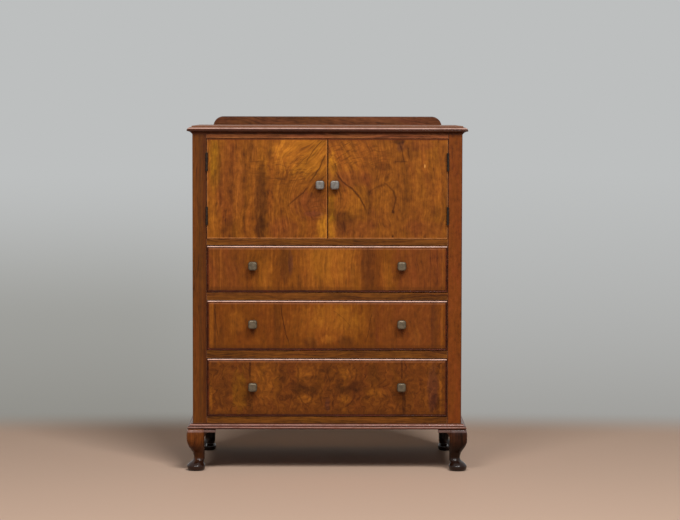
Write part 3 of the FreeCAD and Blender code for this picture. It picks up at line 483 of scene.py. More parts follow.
# %% Leg sections
leg_widest = 17.2
leg_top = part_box("leg_front_right")[1].z * 1000
leg_sections = (
    (0, 26.2, 8.8, 0), (1, 29.7, 12.3, 0), (2.5, 31.9, 14.5, 0), (5.5, 33.7, 16.3, 0),
    (10.5, 34.5, 17.1, 0), (15, 34, 16.6, 0), (19, 32.2, 13.2, 0), (22.2, 30.9, 10.1, 0),
    (25.5, 31.3, 5.6, 0.01), (28.5, 31.9, 1.4, 0.02), (32, 32.3, -0.8, 0.03), (36, 32.4, -2, 0.04),
    (40, 32.4, -1.9, 0.05), (45, 32.4, -0.6, 0.06), (51, 32.4, 1, 0.09), (56, 32.4, 4, 0.14),
    (61, 32.4, 7.2, 0.21), (66, 32.4, 10.3, 0.29), (71, 32.4, 13, 0.36), (76.5, 32.4, 15.2, 0.43),
    (81.5, 32.4, 16.7, 0.48), (87, 32.4, 17.2, 0.52), (102, 32.4, 17.2, 0.58), (108, 32.4, 16.7, 0.61),
    (112, 32.4, 16, 0.64), (117, 32.4, 14.9, 0.7), (leg_top, 32.4, 12.8, 0.78))


def through(rows, height):
    """Read a smooth curve through rows of (height, value, value, ...) at one height."""
    number = max(index for index, row in enumerate(rows[:-1]) if row[0] <= height)
    near = (min(max(number + step, 0), len(rows) - 1) for step in (-1, 0, 1, 2))
    before, low, high, after = (Vector(rows[index]) for index in near)
    span = high[0] - low[0]
    t = (height - low[0]) / span
    start_slope = (high - before) / (high[0] - before[0]) * span
    end_slope = (after - low) / (after[0] - low[0]) * span
    curve = (low * (2 * t ** 3 - 3 * t ** 2 + 1) + high * (3 * t ** 2 - 2 * t ** 3)
             + start_slope * (t ** 3 - 2 * t ** 2 + t) + end_slope * (t ** 3 - t ** 2))
    return curve[1:]


def leg_ring(corner, out, height, corner_points=10):
    """One section as points: four rounded corners round a centre on the leg's diagonal."""
    setback, reach, flat = through(leg_sections, height)
    reach, flat = min(reach, leg_widest), max(flat, 0)
    half = (reach + setback) / 2
    radius = half * (1 - flat)
    points = []
    for quarter, sides in enumerate(((1, 1), (-1, 1), (-1, -1), (1, -1))):
        for step in range(corner_points):
            angle = (quarter + (step + 0.5) / corner_points) * math.pi / 2
            swing = math.cos(angle), math.sin(angle)
            x, y = (corner[axis] + out[axis] * (reach - setback) / 2 + sides[axis] * (half - radius)
                    + radius * swing[axis] for axis in (0, 1))
            points.append(Vector((x, y, height)) / 1000)
    return points


print(len(leg_sections), "sections")

# %% Leg shape
def make_piece(mesh, name, body):
    """Turn a bmesh into a piece that rides on a body."""
    bmesh.ops.recalc_face_normals(mesh, faces=mesh.faces)
    data = bpy.data.meshes.new(name)
    mesh.to_mesh(data)
    mesh.free()
    piece = bpy.data.objects.new(name, data)
    scene.collection.objects.link(piece)
    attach(piece, body)
    return piece


def carved_leg(name, rings=60):
    """A leg in place of the model's, on the same corner and with the same outer planes."""
    low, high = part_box(name)
    out = (1 if high.x > 0 else -1, 1 if high.y > 0 else -1)
    corner = [(high if out[axis] > 0 else low)[axis] * 1000 - out[axis] * leg_widest for axis in (0, 1)]
    mesh = bmesh.new()
    rows = [[mesh.verts.new(spot) for spot in leg_ring(corner, out, leg_top * (number / rings) ** 1.4)]
            for number in range(rings + 1)]
    for under, over in zip(rows, rows[1:]):
        for index, spot in enumerate(under):
            after = (index + 1) % len(under)
            mesh.faces.new((spot, under[after], over[after], over[index])).smooth = True
    mesh.faces.new(rows[0][::-1])
    mesh.faces.new(rows[-1])
    piece = make_piece(mesh, "carved_" + name, "carcase")
    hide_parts(name)
    print(piece.name, "stands on corner", [round(value, 1) for value in corner])
    return piece


carved_legs = {name: carved_leg(name) for name in
               ("leg_front_left", "leg_front_right", "leg_back_left", "leg_back_right")}

# %% [markdown]
# ## Leg finish
# Legs are solid wood, polished hard. The left front knee is golden brown, the right one is nearly
# black, and the wood darkens from the knee down to feet that are dark and glossy. The back legs are a
# darker copy, painted shade for the space under the case. A painted highlight runs along the
# shoulder under the base.

# %% Legs and wings
shoulder_highlight_up = 0.1145


def leg_wood(name, pieces, tones, shoulder_highlight_strength, shoulder_highlight_tone=(146, 112, 102)):
    material, surface = start_material(name)
    x, y, z = place_of_point()
    figure = {"Bands": 50, "Contrast": 0.5, "Fine": 0.6, "Mottle": 0.3, "Lines": 0.2}
    colour, height = walnut_figure(lean_on((x, y), (1, 0.8)), z, tones, **figure)
    uneven_height = cloud(here(), 26) * 0.02 + z
    foot = rise(uneven_height, 0.05, 0.036)
    colour = mix(rise(uneven_height, 0.108, 0.064) * 0.8, colour, paint(*tones[2]))
    colour = mix(foot * 0.8, colour, paint(34, 17, 11))
    # A painted highlight along the shoulder under the base.
    colour = add_lines(colour, z, ((paint(*shoulder_highlight_tone), shoulder_highlight_strength, shoulder_highlight_up, 0.0034, 0.3),))
    finish_wood(surface, colour, height, gloss=0.24, coat=foot * 0.45 + 0.1, wear_amount=0.1)
    dress(material, pieces)
    for leg in carved_legs:
        if fnmatch(leg, pieces):
            carved_legs[leg].data.materials.append(material)


leg_wood("leg_walnut_left", "leg_front_left", ((124, 68, 24), (100, 52, 16), (44, 20, 6)), 0.7)
leg_wood("leg_walnut_right", "leg_front_right", ((72, 38, 20), (50, 25, 13), (24, 10, 4)), 0.55,
         (124, 102, 98))
# The back legs are a darker copy of the leg wood: painted shade for the space under the case.
leg_wood("leg_walnut_back_shaded", "leg_back_*", ((42, 21, 12), (30, 14, 8), (18, 8, 4)), 0.2)
leg_wood("leg_walnut_wings", "knee_wings", ((70, 36, 19), (46, 22, 12), (24, 10, 5)), 0.6, (132, 104, 96))
print("legs dressed, shoulder at", shoulder_highlight_up)

# %% [markdown]
# ## Inside woods
# Drawer linings are thin pale wood, runners and blocks are softwood, and the flat boards are plywood.
# They were planed and left dry, so they have no coat and little gloss. The bottom board is darker as
# painted shade, so that little light bounces onto the floor under the case.

# %% Inside finishes
soft_tones = ((214, 176, 120), (196, 154, 100), (160, 114, 66))
darkened_tones = ((128, 96, 64), (104, 76, 50), (74, 50, 32))
for name, pieces, along, weights, bands, tones in (
        ("drawer_lining", "drawer_*_side_*", "Y", (0.4, 0, 1), 60, pale_tones),
        ("drawer_lining_back", "drawer_*_back", "X", (0, 0.4, 1), 60, pale_tones),
        ("plywood", "drawer_*_bottom cupboard_floor", "X", (0, 1, 0.3), 18, pale_tones),
        ("plywood_back", "back_panel", "Z", (1, 0.3, 0), 14, pale_tones),
        ("carcase_softwood", "door_stop drawer_stops", "X", (0, 1, 1), 40, soft_tones),
        ("carcase_softwood_runners", "runners_*", "Y", (1, 0, 1), 40, soft_tones),
        ("carcase_softwood_darkened", "bottom_board", "X", (0, 1, 1), 40, darkened_tones)):
    plain_wood(name, pieces, along, weights, tones, bands=bands, contrast=0.75, lines=0.25, hue=0.15,
               gloss=0.58, coat=0, wear_amount=0.15)
    print(name, "on", pieces)

# %% [markdown]
# ## Figured fronts
# The doors and drawers are the show wood. Their veneer was cut where branches leave the trunk, so the
# grain leans, swirls and carries dark veins. An image would be quick, but it has one size and one
# place. Here each front is walnut figure with its grain bent, then tinted by patches and crossed by
# veins, each put where the real front has one. Tables give their places in millimetres, across from
# the middle of the case and up from the floor.

# %% A figured front
golden = paint(172, 108, 28)
honey = paint(152, 88, 26)
chestnut = paint(116, 58, 26)
umber = paint(84, 44, 14)
soot = paint(58, 26, 9)
plum = paint(92, 50, 34)
moss = paint(116, 74, 12)
front_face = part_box("door_panel_left")[0].y


class Front:
    """One veneered front: its shader, the place of a point on it and its colour so far."""

    def __init__(self, name):
        self.material, self.surface = start_material(name)
        self.x, self.y, self.z = place_of_point()
        self.flat = point(self.x, 0, self.z)
        self.across = self.x + sway(self.flat, 6, 0.05, 3)

    def cut(self, tones, **figure):
        """Lay walnut figure on it, from light, middle and dark tones."""
        self.middle = paint(*tones[1])
        self.colour, self.height = walnut_figure(self.across, self.z, tones, **figure)

    def oval(self, centre_across, centre_up, half_width, half_height, ragged=0):
        """A mask round a centre, with two half sizes, in millimetres."""
        return use(patch, Across=self.x, Up=self.z, Ragged=ragged,
                   Centre_Across=centre_across / 1000, Centre_Up=centre_up / 1000,
                   Half_Width=half_width / 1000, Half_Height=half_height / 1000)

    def tint(self, rows):
        """Tint ovals. A row is the colour that the middle tone turns into, the strength in percent, the
        centre and half sizes. The tint multiplies, so the streaks stay visible."""
        ragged = (stretched_cloud(self.x, self.z, 90, 30, 11, 3) - 0.5) * 3.4
        for tone, percent, *spot in rows:
            factor = tuple(new / old for new, old in zip(tone, self.middle))
            self.colour = mix(self.oval(*spot, ragged) * (percent / 100), self.colour, factor, "MULTIPLY")

    def draw_veins(self, rows):
        """Draw dark lines. A row is the strength in percent, the start across and up, the angle in
        degrees, the bend, the length and the half width."""
        wobble = sway(self.flat, 55, 0.008, 3)
        for percent, start_across, start_up, angle, bend, length, half_width in rows:
            mask = use(vein, Across=self.x, Up=self.z, Wobble=wobble, Bend=bend,
                       Start_Across=start_across / 1000, Start_Up=start_up / 1000,
                       Angle=math.radians(angle), Length=length / 1000, Half_Width=half_width / 1000)
            self.colour = mix(mask * (percent / 100), self.colour, soot)

    def crack(self, degrees, spacing, percent, *area):
        """Short fine lines across the grain, inside an oval."""
        cosine, sine = math.cos(math.radians(degrees)), math.sin(math.radians(degrees))
        along_line = self.x * cosine + self.z * sine
        over_line = self.z * cosine - self.x * sine + sway(self.flat, 24, 0.02)
        lines = rise(stretched_cloud(over_line, along_line, 1000 / spacing, 34, 21), 0.5, 0.34)
        self.colour = mix(lines * self.oval(*area) * (percent / 100), self.colour, umber)

    def grime_and_shadow(self, knob_across, knob_up):
        """A dark halo round a knob, a little below it: partly dirt from hands, partly painted shadow of the
        knob.
        """
        self.colour = mix(self.oval(knob_across, knob_up - 4, 16, 17) * 0.5, self.colour, umber)

    def line(self, value, *rows):
        self.colour = add_lines(self.colour, value, rows)

    def finish(self, name):
        """The figure is only on the face. Behind it and on the edges the wood is straight-grained."""
        tones = ((142, 84, 32), (114, 62, 24), (72, 38, 15))
        plain = walnut_figure(self.x, self.z, tones, Bands=60, Contrast=0.7, Lines=0.3)[0]
        on_face = rise(self.y, front_face + 0.0022, front_face + 0.0016)
        finish_wood(self.surface, mix(on_face, plain, self.colour), self.height, shine=0.08, coat=0.03,
                    wear_amount=0.15)
        dress(self.material, name)
        print(name, "has", len(self.material.node_tree.nodes), "nodes")


print("fronts start at", round(front_face, 4))

# %% [markdown]
# ## Left door
# On the left the grain stands upright, with a strip of yellow sapwood by the hinges and a dark plume.
# Towards the meeting edge it leans over to the right, and two veins follow the lean down from the top.
# The lean is a sideways shift that grows towards that corner.

# %% Left door
door_cut = {"Bands": 34, "Contrast": 0.3, "Fine": 0.65, "Mottle": 0.55, "Hue": 0.4, "Lines": 0.06}
door_knob_across = 20.8
door_knob_up = sum(corner.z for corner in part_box("door_knob_left")) * 500


def finish_door(door, name, meeting_painted_light, meeting_strength):
    """Painted highlights at the hinge side and the foot, painted shade at the head, and a painted line at the
    meeting edge.
    """
    low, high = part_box(name)
    hinge_side, meeting_side = (low.x, high.x) if high.x < 0.1 else (high.x, low.x)
    # Painted highlights at the hinge side and the foot; at the meeting edge a painted highlight on the left
    # door and painted gap shade on the right; painted shade along the head.
    arris_highlight = paint(190, 124, 72)
    door.grime_and_shadow(math.copysign(door_knob_across, hinge_side), door_knob_up)
    door.line(door.x, (arris_highlight, 0.45, hinge_side, 0.0022, 0.7),
              (meeting_painted_light, meeting_strength, meeting_side, 0.0024, 0.3))
    door.line(door.z, (paint(84, 34, 14), 0.85, high.z, 0.0034, 0.1), (arris_highlight, 0.8, low.z, 0.0024, 0.5))
    door.finish(name)


door = Front("door_veneer_left")
lean = rise(door.x, -0.17, -0.02) * rise(door.z, 0.71, 0.84)
door.across += lean * (door.z - 0.8) * -0.75
door.cut(((156, 92, 29), (128, 72, 20), (92, 49, 15)), **door_cut)
door.tint((
    (golden, 50, -50, 900, 90, 55), (honey, 45, -150, 895, 60, 50), (chestnut, 30, -275, 830, 36, 110),
    (chestnut, 55, -45, 755, 50, 35), (golden, 35, -322, 895, 12, 50), (moss, 55, -318, 870, 14, 70),
    (honey, 45, -322, 760, 14, 120), (honey, 50, -252, 820, 10, 90), (umber, 85, -188, 760, 17, 100),
    (plum, 25, -38, 731, 24, 7), (soot, 40, -186, 690, 16, 26), (umber, 50, -302, 815, 6, 60),
    (umber, 50, -278, 690, 20, 30), (umber, 45, -215, 910, 10, 30), (umber, 25, -236, 825, 9, 100),
    (umber, 35, -270, 830, 5, 80), (honey, 35, -205, 775, 5, 60), (umber, 30, -160, 905, 10, 25),
    (chestnut, 45, -120, 690, 40, 30), (golden, 85, -10, 692, 16, 34)))
door.crack(4, 5.5, 55, -130, 850, 80, 45)
door.crack(12, 5, 55, -30, 745, 30, 30)
door.draw_veins((
    (60, -16, 937, -138, -3, 85, 1.4), (70, -6, 896, -112, 1.6, 100, 2.1), (60, -52, 808, -135, 0.6, 90, 2),
    (40, -60, 830, -170, 1.5, 50, 1.2), (40, -84, 893, 30, 22, 20, 1), (35, -96, 880, -10, -16, 26, 1),
    (50, -220, 878, 3, 0.5, 40, 1.1), (40, -160, 832, -4, 0.5, 50, 1.1)))
finish_door(door, "door_panel_left", paint(178, 112, 58), 0.6)

# %% [markdown]
# ## Right door
# This leaf is cut from a crotch. A fine ripple crosses its upper left, a vein runs down from the knob,
# and an arch of dark grain stands in the middle round a lighter heart. Right of the arch the grain is
# straight again.

# %% Right door
door = Front("door_veneer_right")
lean = rise(door.x, 0.17, 0.05) * rise(door.z, 0.72, 0.82)
door.across += lean * (door.z - 0.8) * 0.35 + door.oval(160, 770, 30, 60) * 0.012
door.cut(((154, 91, 29), (128, 72, 22), (92, 49, 16)), **door_cut)
door.tint((
    (honey, 60, 70, 890, 60, 45), (honey, 55, 60, 765, 45, 30), (chestnut, 50, 60, 830, 60, 20),
    (chestnut, 45, 75, 690, 60, 22), (umber, 60, 45, 715, 30, 24), (umber, 35, 45, 680, 12, 18),
    (golden, 60, 12, 840, 12, 60), (moss, 60, 10, 745, 12, 30), (golden, 70, 12, 690, 12, 34),
    (honey, 45, 160, 780, 16, 40), (umber, 58, 160, 864, 18, 10), (umber, 50, 167, 830, 7, 8),
    (umber, 40, 118, 880, 10, 20), (umber, 40, 116, 765, 10, 45), (chestnut, 35, 128, 720, 16, 30),
    (soot, 60, 203, 937, 16, 8), (plum, 55, 208, 922, 10, 14), (umber, 45, 240, 905, 18, 20),
    (chestnut, 45, 262, 925, 40, 14), (umber, 35, 222, 790, 10, 60), (umber, 25, 250, 700, 12, 40),
    (honey, 30, 275, 880, 20, 30), (umber, 45, 284, 835, 10, 10), (honey, 60, 314, 800, 6, 60),
    (chestnut, 40, 270, 690, 60, 20), (umber, 45, 307, 735, 12, 22), (umber, 50, 337, 870, 4, 40),
    (umber, 50, 337, 740, 4, 50)))
door.crack(24, 4.5, 70, 50, 900, 50, 36)
door.crack(6, 4.5, 45, 140, 895, 40, 35)
door.draw_veins((
    (55, 22, 875, -84, 0, 34, 2), (70, 25, 851, -72, -7.9, 64, 2.7), (75, 62.5, 807, -34, 5.1, 84, 2.8),
    (50, 160, 818.5, -30, 6.2, 42, 2.5), (65, 185, 798, -58, 12.2, 62, 3.6),
    (35, 163, 814.5, -170, -5.9, 54, 3), (45, 122, 798, -125, -18.8, 36, 4.2),
    (55, 205, 932, -76, 0.5, 75, 1.3), (65, 188, 878.5, 0, 0.5, 44, 1.2), (45, 222, 872, -84, 0.6, 60, 1.2),
    (80, 188, 742, -100, 0, 10, 4), (95, 186, 673, -100, 0, 10, 2.6)))
worn_nick = door.oval(275, 866, 1.5, 5)
door.colour = mix(worn_nick, door.colour, paint(214, 150, 74))
finish_door(door, "door_panel_right", painted_gap_shade, 0.85)

# %% [markdown]
# ## Drawer fronts
# The three fronts are cut across the width of different leaves. The upper one has fine upright stripes
# with a golden middle, the middle one is cloudy with a few strong bands, and the lower one is burr,
# full of small swirls. All are darker at the foot, partly dirt and partly painted shade, with painted
# shade in the corners beside the bead and a painted highlight under its head.

# %% Drawer front helpers
bead_wide = 0.004
painted_corner_shade = paint(78, 34, 16)
drawer_cut = {"Bands": 30, "Contrast": 0.2, "Fine": 0.5, "Mottle": 0.4, "Hue": 0.35, "Lines": 0.05}


def finish_drawer(front, drawer):
    """Halos round the knobs, partly dirt and partly painted shadow. Dirt and painted shade at the foot,
    painted shade in the gaps and the corners beside the bead, and a painted highlight under its head.
    """
    low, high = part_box(f"drawer_{drawer}_front")
    knob_low, knob_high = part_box(f"drawer_{drawer}_knobs")
    knob_across = knob_high.x - (knob_high.z - knob_low.z) / 2
    for side in (-1, 1):
        front.grime_and_shadow(side * knob_across * 1000, (knob_low.z + knob_high.z) * 500)
    head, foot = high.z - bead_wide, low.z + bead_wide
    # Dirt and painted shade along the foot, painted gap shade under it, a painted highlight under the head
    # bead and painted shade in the corner beside it.
    front.line(front.z, (umber, 0.45, foot, 0.011, 0.3), (painted_gap_shade, 0.8, foot, 0.0024, 0.2),
               (paint(160, 104, 70), 0.5, head - 0.004, 0.0016, 0.5), (painted_corner_shade, 0.8, head, 0.0018, 0.2))
    # Painted shade in the corners beside the side beads.
    for edge in (low.x + bead_wide, high.x - bead_wide):
        front.line(front.x, (painted_corner_shade, 0.8, edge, 0.002, 0.2))
    front.finish(f"drawer_{drawer}_front")


print("beads are", bead_wide, "wide")

# %% Upper drawer front
front = Front("drawer_veneer_upper")
front.cut(((140, 80, 24), (118, 64, 17), (90, 48, 14)), **{**drawer_cut, "Fine": 0.6})
front.tint((
    (honey, 48, 5, 575, 85, 140), (golden, 15, 10, 600, 60, 60), (chestnut, 40, -290, 575, 50, 150),
    (chestnut, 50, 270, 575, 70, 150), (honey, 55, -175, 555, 18, 50), (honey, 40, -302, 575, 2, 100),
    (honey, 40, -321, 575, 2, 100), (honey, 40, -157, 600, 2, 60), (umber, 65, -120, 595, 16, 50),
    (plum, 55, -104, 595, 6, 36), (umber, 75, 113, 590, 16, 80), (umber, 35, 136, 570, 10, 80),
    (honey, 45, 168, 550, 14, 40), (umber, 40, -78, 540, 6, 20), (umber, 45, -20, 530, 5, 20),
    (umber, 30, 70, 560, 8, 30), (umber, 40, 292, 575, 2, 120), (umber, 40, 311, 575, 2, 120),
    (honey, 40, 327, 575, 2, 120)))
finish_drawer(front, "upper")

# %% Middle drawer front
front = Front("drawer_veneer_middle")
front.cut(((136, 76, 22), (114, 60, 15), (86, 45, 13)), **{**drawer_cut, "Fine": 0.45, "Mottle": 0.45})
front.tint((
    (honey, 46, 10, 425, 100, 50), (golden, 12, 20, 440, 60, 35), (honey, 50, -328, 416, 5, 150),
    (umber, 65, -318, 416, 3, 150), (umber, 35, -300, 380, 10, 40), (honey, 35, -256, 425, 20, 30),
    (umber, 45, -142, 430, 10, 100), (umber, 60, -48, 366, 18, 13), (umber, 60, 52, 370, 20, 15),
    (honey, 40, 0, 375, 20, 10), (umber, 34, 134, 416, 13, 120), (chestnut, 42, 235, 416, 80, 120),
    (honey, 30, 252, 380, 14, 20), (umber, 55, 303, 416, 8, 120), (honey, 45, 325, 400, 3, 90)))
front.draw_veins((
    (75, -131, 474, -86, -1.2, 128, 1.5), (55, 126, 450, -98, 0.6, 90, 1.3),
    (55, -318, 470, -88, -0.8, 110, 1.3), (40, 20, 455, -35, 2, 70, 1)))
finish_drawer(front, "middle")

# %% Lower drawer front
front = Front("drawer_veneer_lower")
front.across += sway(front.flat, 36, 0.06, 3)
front.cut(((126, 70, 22), (104, 55, 17), (78, 40, 13)),
          **{**drawer_cut, "Contrast": 0.35, "Mottle": 0.8, "Lines": 0.16})
front.tint((
    (umber, 45, -295, 235, 16, 50), (moss, 50, -250, 225, 18, 60), (honey, 35, -180, 255, 34, 50),
    (honey, 38, -66, 279, 22, 18), (honey, 35, 62, 279, 18, 18), (umber, 60, -1, 290, 12, 10),
    (umber, 45, -128, 270, 8, 26), (umber, 55, 128, 277, 16, 26), (umber, 50, -30, 236, 12, 12),
    (umber, 45, 30, 234, 14, 12), (umber, 45, 86, 216, 12, 12), (umber, 45, -94, 214, 16, 8),
    (honey, 45, -60, 205, 18, 10), (honey, 40, 52, 205, 20, 10), (honey, 35, 140, 222, 22, 12),
    (plum, 55, 2, 190, 6, 18), (soot, 70, -219, 290, 3, 30), (umber, 80, -217, 195, 6, 36),
    (soot, 65, 212, 290, 3, 30), (soot, 65, 219, 195, 5, 32), (plum, 50, 300, 235, 14, 60),
    (soot, 50, 310, 195, 14, 24), (honey, 50, 322, 230, 3, 80), (honey, 50, -330, 200, 4, 40)))
front.crack(30, 8, 35, 10, 240, 110, 90)
wing_veins = (
    (40, 82, 245, -152, 1, 70, 4.4), (45, 80, 219, -100, 12.5, 48, 2.4), (45, 82, 294, -84, 3, 42, 2.8),
    (35, 22, 224, -108, -3, 40, 2.2), (40, 10, 250, 108, 2, 50, 2.2), (35, 110, 206, 30, 6, 40, 1.8))
for side in (-1, 1):
    front.tint(((umber, 95, side * 88, 241, 19, 16), (umber, 90, side * 56, 232, 22, 10)))
    front.draw_veins([
        (percent, side * start_across, start_up, 180 - angle if side < 0 else angle, bend * side, *rest)
        for percent, start_across, start_up, angle, bend, *rest in wing_veins])
finish_drawer(front, "lower")

# %% [markdown]
# ## Cock beads
# A thin bead stands proud all round each drawer to save the veneer's edge. Its top rail is what every
# hand and duster rubs, so it has a pale line that is partly wear and partly a painted highlight, while
# painted shade darkens the sides and the foot. The line lies at the head of each drawer, so each bead
# has its own material.

# %% Cock beads
for drawer in ("upper", "middle", "lower"):
    low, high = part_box(f"drawer_{drawer}_cock_bead")
    # The bead's top: partly wear and partly a painted highlight. Painted gap shade at its foot and sides.
    rubbed_and_highlight = (paint(236, 194, 176), 0.95, high.z - 0.0015, 0.0014, 0.25)
    lines = {"Z": ((painted_gap_shade, 0.8, low.z, 0.0022, 0), rubbed_and_highlight),
             "X": [(painted_gap_shade, 0.8, edge, 0.0016, 0) for edge in (low.x, high.x)]}
    plain_wood(f"bead_walnut_{drawer}", f"drawer_{drawer}_cock_bead", "X", (0, 1, 1),
               ((98, 42, 22), (72, 30, 13), (44, 17, 7)), bands=60, marks=lines, shine=0.08,
               wear_amount=0.1)
print("beads dressed")

# %% [markdown]
# ## Metal
# The knobs are cast, grey-brown like old pewter, darker in the hollows and bright where fingers polish
# them. The hinges are brass that has tarnished almost black. Noise mixes a stain into the metal. The
# edge wear group tints the rims: paler with wear on the hinges and the catch, darker on the knobs,
# where it is painted shade that makes them look rounded.

# %% Metal finish
def old_metal(name, pieces, clean, stained, rim_wear_and_shade, roughness):
    material, surface = start_material(name)
    clean, stained, rim_wear_and_shade = paint(*clean), paint(*stained), paint(*rim_wear_and_shade)
    stain = rise(cloud(here(), 110, 3), 0.3, 0.7)
    pits = rise(cloud(here(), 660), 0.62, 0.78)
    colour = mix(pits * 0.35, mix(stain * 0.7, clean, stained), stained)
    bump = value_of("ShaderNodeBump", {"Height": pits * -1 + 1, "Strength": 0.3, "Distance": 0.0003})
    fill(surface, Base_Color=mix(use(wear, Radius=0.003, Amount=0.7), colour, rim_wear_and_shade), Normal=bump,
         Metallic=0.7, Roughness=stain * 0.16 + roughness)
    dress(material, pieces)
    return material


hinge_metal = old_metal("hinge_brass", "hinge_*", (48, 38, 32), (22, 17, 17), (70, 56, 42), 0.42)
catch_metal = old_metal("catch_brass", "catch_*", (176, 146, 84), (110, 86, 46), (200, 170, 104), 0.36)
# The knobs' rims are darker than their clean metal: painted shade that makes them look rounded.
old_metal("drawer_knob_metal", "*_knobs", (112, 100, 82), (70, 61, 46), (46, 38, 28), 0.4)
old_metal("door_knob_metal", "door_knob_*", (130, 125, 120), (90, 84, 77), (60, 50, 40), 0.36)
print("metal dressed")

# %% [markdown]
# ## Screws
# Butt hinges are held by slotted screws, sunk flush with the leaf so that the hinge can close. The
# model leaves them out, so they are made here: a slotted head on a short cone. One bmesh holds all the
# screws of a body.

# %% Screw shape
def add_screw(mesh, place, out, turned, radius=0.0022, depth=0.0012, slot_half=0.00028, slot_depth=0.0005):
    """One slotted countersunk head, flush at place and facing along out."""
    upright = out.to_track_quat("Z", "Y").to_matrix().to_4x4()
    to_place = Matrix.Translation(place) @ Matrix.Rotation(turned, 4, out) @ upright
    start = math.asin(slot_half / radius)
    steps = 8

    def row(angles, share, deep):
        spots = [(share * radius * math.cos(angle), share * radius * math.sin(angle)) for angle in angles]
        return [mesh.verts.new(to_place @ Vector((x, y, -deep))) for x, y in spots]

    halves = []
    for side in (0, math.pi):
        arc = [start + side + (math.pi - 2 * start) * step / steps for step in range(steps + 1)]
        halves.append((row(arc, 1, 0), row(arc, 0.6, depth), row(arc[::steps], 1, slot_depth)))
    faces = [halves[0][2] + halves[1][2], (halves[0][1] + halves[1][1])[::-1]]
    for (top, foot, slot), (next_top, next_foot, next_slot) in (halves, halves[::-1]):
        faces += [(top[step], foot[step], foot[step + 1], top[step + 1]) for step in range(steps)]
        faces += [top, (top[0], top[-1], slot[1], slot[0]), (top[-1], foot[-1], slot[1]),
                  (next_top[0], next_slot[0], next_foot[0]), (slot[1], foot[-1], next_foot[0], next_slot[0])]
    for face in faces:
        mesh.faces.new(face)


def screws(name, body, slot, material, places, **shape):
    """A piece made of screws. Each place is a point and the way that the head faces."""
    mesh = bmesh.new()
    for number, (spot, out) in enumerate(places):
        add_screw(mesh, Vector(spot), Vector(out), 0.5 + 1.1 * number, **shape)
    make_piece(mesh, name, body).data.materials.append(material)
    print(name, len(places), "screws")

# %% Hinge screws
pins_low, pins_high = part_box("hinge_pins")
hinge_half = 0.0263
screw_spread = 0.0175
screw_heights = [centre + step for centre in (pins_high.z - hinge_half, pins_low.z + hinge_half)
                 for step in (-screw_spread, 0, screw_spread)]
screw_inset = 0.0075
screw_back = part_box("hinge_leaves_frame")[1].y - screw_inset
frame_leaf_face = 0.341
door_leaf_face = 0.3398
frame_screws = []
for side, body in ((-1, "door_left"), (1, "door_right")):
    frame_screws += [((side * frame_leaf_face, screw_back, up), (-side, 0, 0)) for up in screw_heights]
    door_screws = [((side * door_leaf_face, screw_back, up), (side, 0, 0)) for up in screw_heights]
    screws(f"hinge_screws_{body}", body, "hinge_brass", hinge_metal, door_screws)
screws("hinge_screws_frame", "carcase", "hinge_brass", hinge_metal, frame_screws)

# %% Catch and back screws
backwards = (0, 1, 0)
tongue_across, tongue_back, tongue_up = 0.04, -0.1873, 0.9125
for side, body in ((-1, "door_left"), (1, "door_right")):
    screws(f"catch_screw_{body}", body, "catch_brass", catch_metal,
           [((side * tongue_across, tongue_back, tongue_up), backwards)], radius=0.0018, depth=0.001)

back_inset = 0.012
spaces = 5
low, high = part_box("back_panel")
left, right, foot, head = low.x + back_inset, high.x - back_inset, low.z + back_inset, high.z - back_inset
spots = [(side, foot + (head - foot) * step / spaces) for step in range(spaces + 1) for side in (left, right)]
spots += [(left + (right - left) * step / spaces, end) for step in range(1, spaces) for end in (foot, head)]
screws("back_screws", "carcase", "hinge_brass", hinge_metal,
       [((across, high.y, up), backwards) for across, up in spots], radius=0.0035, depth=0.0018,
       slot_half=0.0004, slot_depth=0.0008)

# %% [markdown]
# ## Floor and room
# The floor is plain and pale. Far from the piece it fades into the wall's tone, so no horizon cuts
# across the picture, while near it the floor stays real and takes the shadow. That tone is only for
# the camera and for what polished surfaces mirror. The room's light comes mostly from the front, as
# beside a wall, which leaves the floor under the case as dark as in the photograph.

# %% Floor
wall_high = paint(189, 191, 191)
wall_low_painted_shade = paint(150, 148, 143)
floor_half = 30
floor_corners = [(x * floor_half, y * floor_half, 0) for x, y in ((-1, -1), (1, -1), (1, 1), (-1, 1))]
floor_mesh = bpy.data.meshes.new("floor")
floor_mesh.from_pydata(floor_corners, [], [(0, 1, 2, 3)])
floor = bpy.data.objects.new("floor", floor_mesh)
scene.collection.objects.link(floor)


def seen_rays():
    """1 for what the camera sees, directly or mirrored, and 0 for rays that only gather light."""
    ray = put("ShaderNodeLightPath").outputs
    seen = calc("MAXIMUM", Value(ray["Is Camera Ray"]), Value(ray["Is Glossy Ray"]))
    return calc("MAXIMUM", seen, Value(ray["Is Transmission Ray"]))


floor_material, surface = start_material("floor")
fill(surface, Base_Color=paint(228, 195, 171), Roughness=0.7, Specular_IOR_Level=0.1)
x, y = place_of_point()[:2]
sideways = x * 0.3
behind = calc("MAXIMUM", y, y * -0.3)
distance = calc("SQRT", sideways * sideways + behind * behind)
far = rise(distance, 0.6, 1.15) * seen_rays()
depth = distance * (1 + 4 / floor_half) / (distance + 4)
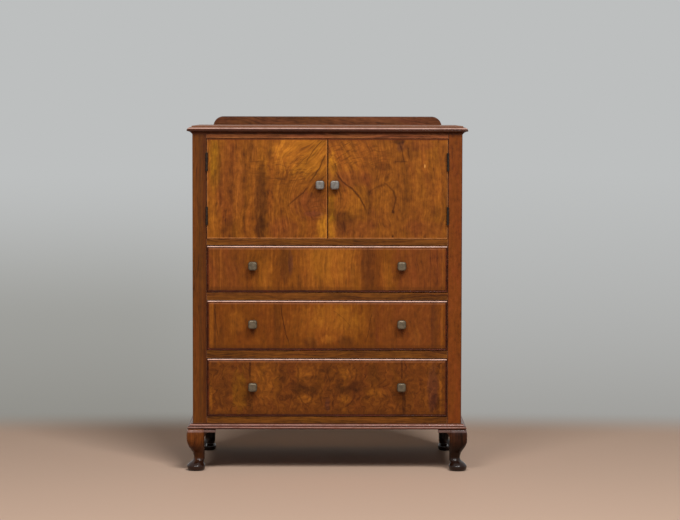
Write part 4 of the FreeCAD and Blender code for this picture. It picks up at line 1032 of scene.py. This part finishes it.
# Painted shade on the backdrop: its tone is darker nearer the piece and on the left.
left_painted_shade = rise(x / (distance + 7), 0.04, -0.09) * rise(depth, 1, 0.6)
tone = mix(left_painted_shade, mix(depth, wall_low_painted_shade, wall_high), (0.8, 0.79, 0.76), "MULTIPLY")
glow = value_of("ShaderNodeEmission", {"Color": tone, "Strength": 1})
blend = value_of("ShaderNodeMixShader", {0: far, 1: Value(surface.outputs[0]), 2: glow})
feed(next(node for node in bench.tree.nodes if node.type == "OUTPUT_MATERIAL").inputs["Surface"], blend)
floor.data.materials.append(floor_material)
print("floor", 2 * floor_half, "m wide")

# %% Room
scene.world = bpy.data.worlds.new("room")
scene.world.use_nodes = True
bench.tree = scene.world.node_tree
bench.tree.nodes.clear()
ambient = value_of("ShaderNodeBackground", {"Color": (1, 1, 1), "Strength": 0.035})
shown = value_of("ShaderNodeBackground", {"Color": wall_high, "Strength": 1})
either = value_of("ShaderNodeMixShader", {0: seen_rays(), 1: ambient, 2: shown})
put("ShaderNodeOutputWorld", {"Surface": either})
print("wall tone", [round(value, 3) for value in wall_high])

# %% [markdown]
# ## Light
# The shadow's front edge lies close under the base, so the main light stood high in front, and the left
# side is in shade, so it stood to the right. Two wide lamps stand for it and for a weaker one on the
# left. The fills are kept off the floor, because they would wash out the dark space under the case.

# %% Light
middle_of_case = Vector((0, 0, 0.5))
not_floor = bpy.data.collections.new("not on the floor")
not_floor.objects.link(floor)
not_floor.collection_objects[0].light_linking.link_state = "EXCLUDE"
for name, place, width, height, watts in (
        ("main light", (1.2, -3.6, 4.4), 1.8, 1.2, 165), ("left light", (-1.5, -4, 3.6), 1.6, 1.2, 66),
        ("front fill", (0.4, -5.2, 2.7), 4, 2, 82), ("rear fill", (-1, 4.6, 3.4), 3, 2, 105),
        ("side fill left", (-4.6, 0.6, 2.4), 2, 2, 70), ("side fill right", (4.6, 0.6, 2.4), 2, 2, 70)):
    data = bpy.data.lights.new(name, "AREA")
    data.shape = "RECTANGLE"
    data.size, data.size_y, data.energy = width, height, watts
    lamp = bpy.data.objects.new(name, data)
    scene.collection.objects.link(lamp)
    lamp.location = place
    lamp.rotation_euler = (middle_of_case - Vector(place)).to_track_quat("-Z", "Y").to_euler()
    if "fill" in name:
        lamp.light_linking.receiver_collection = not_floor
        lamp.visible_glossy = name == "front fill"
scene.view_settings.view_transform = "Standard"
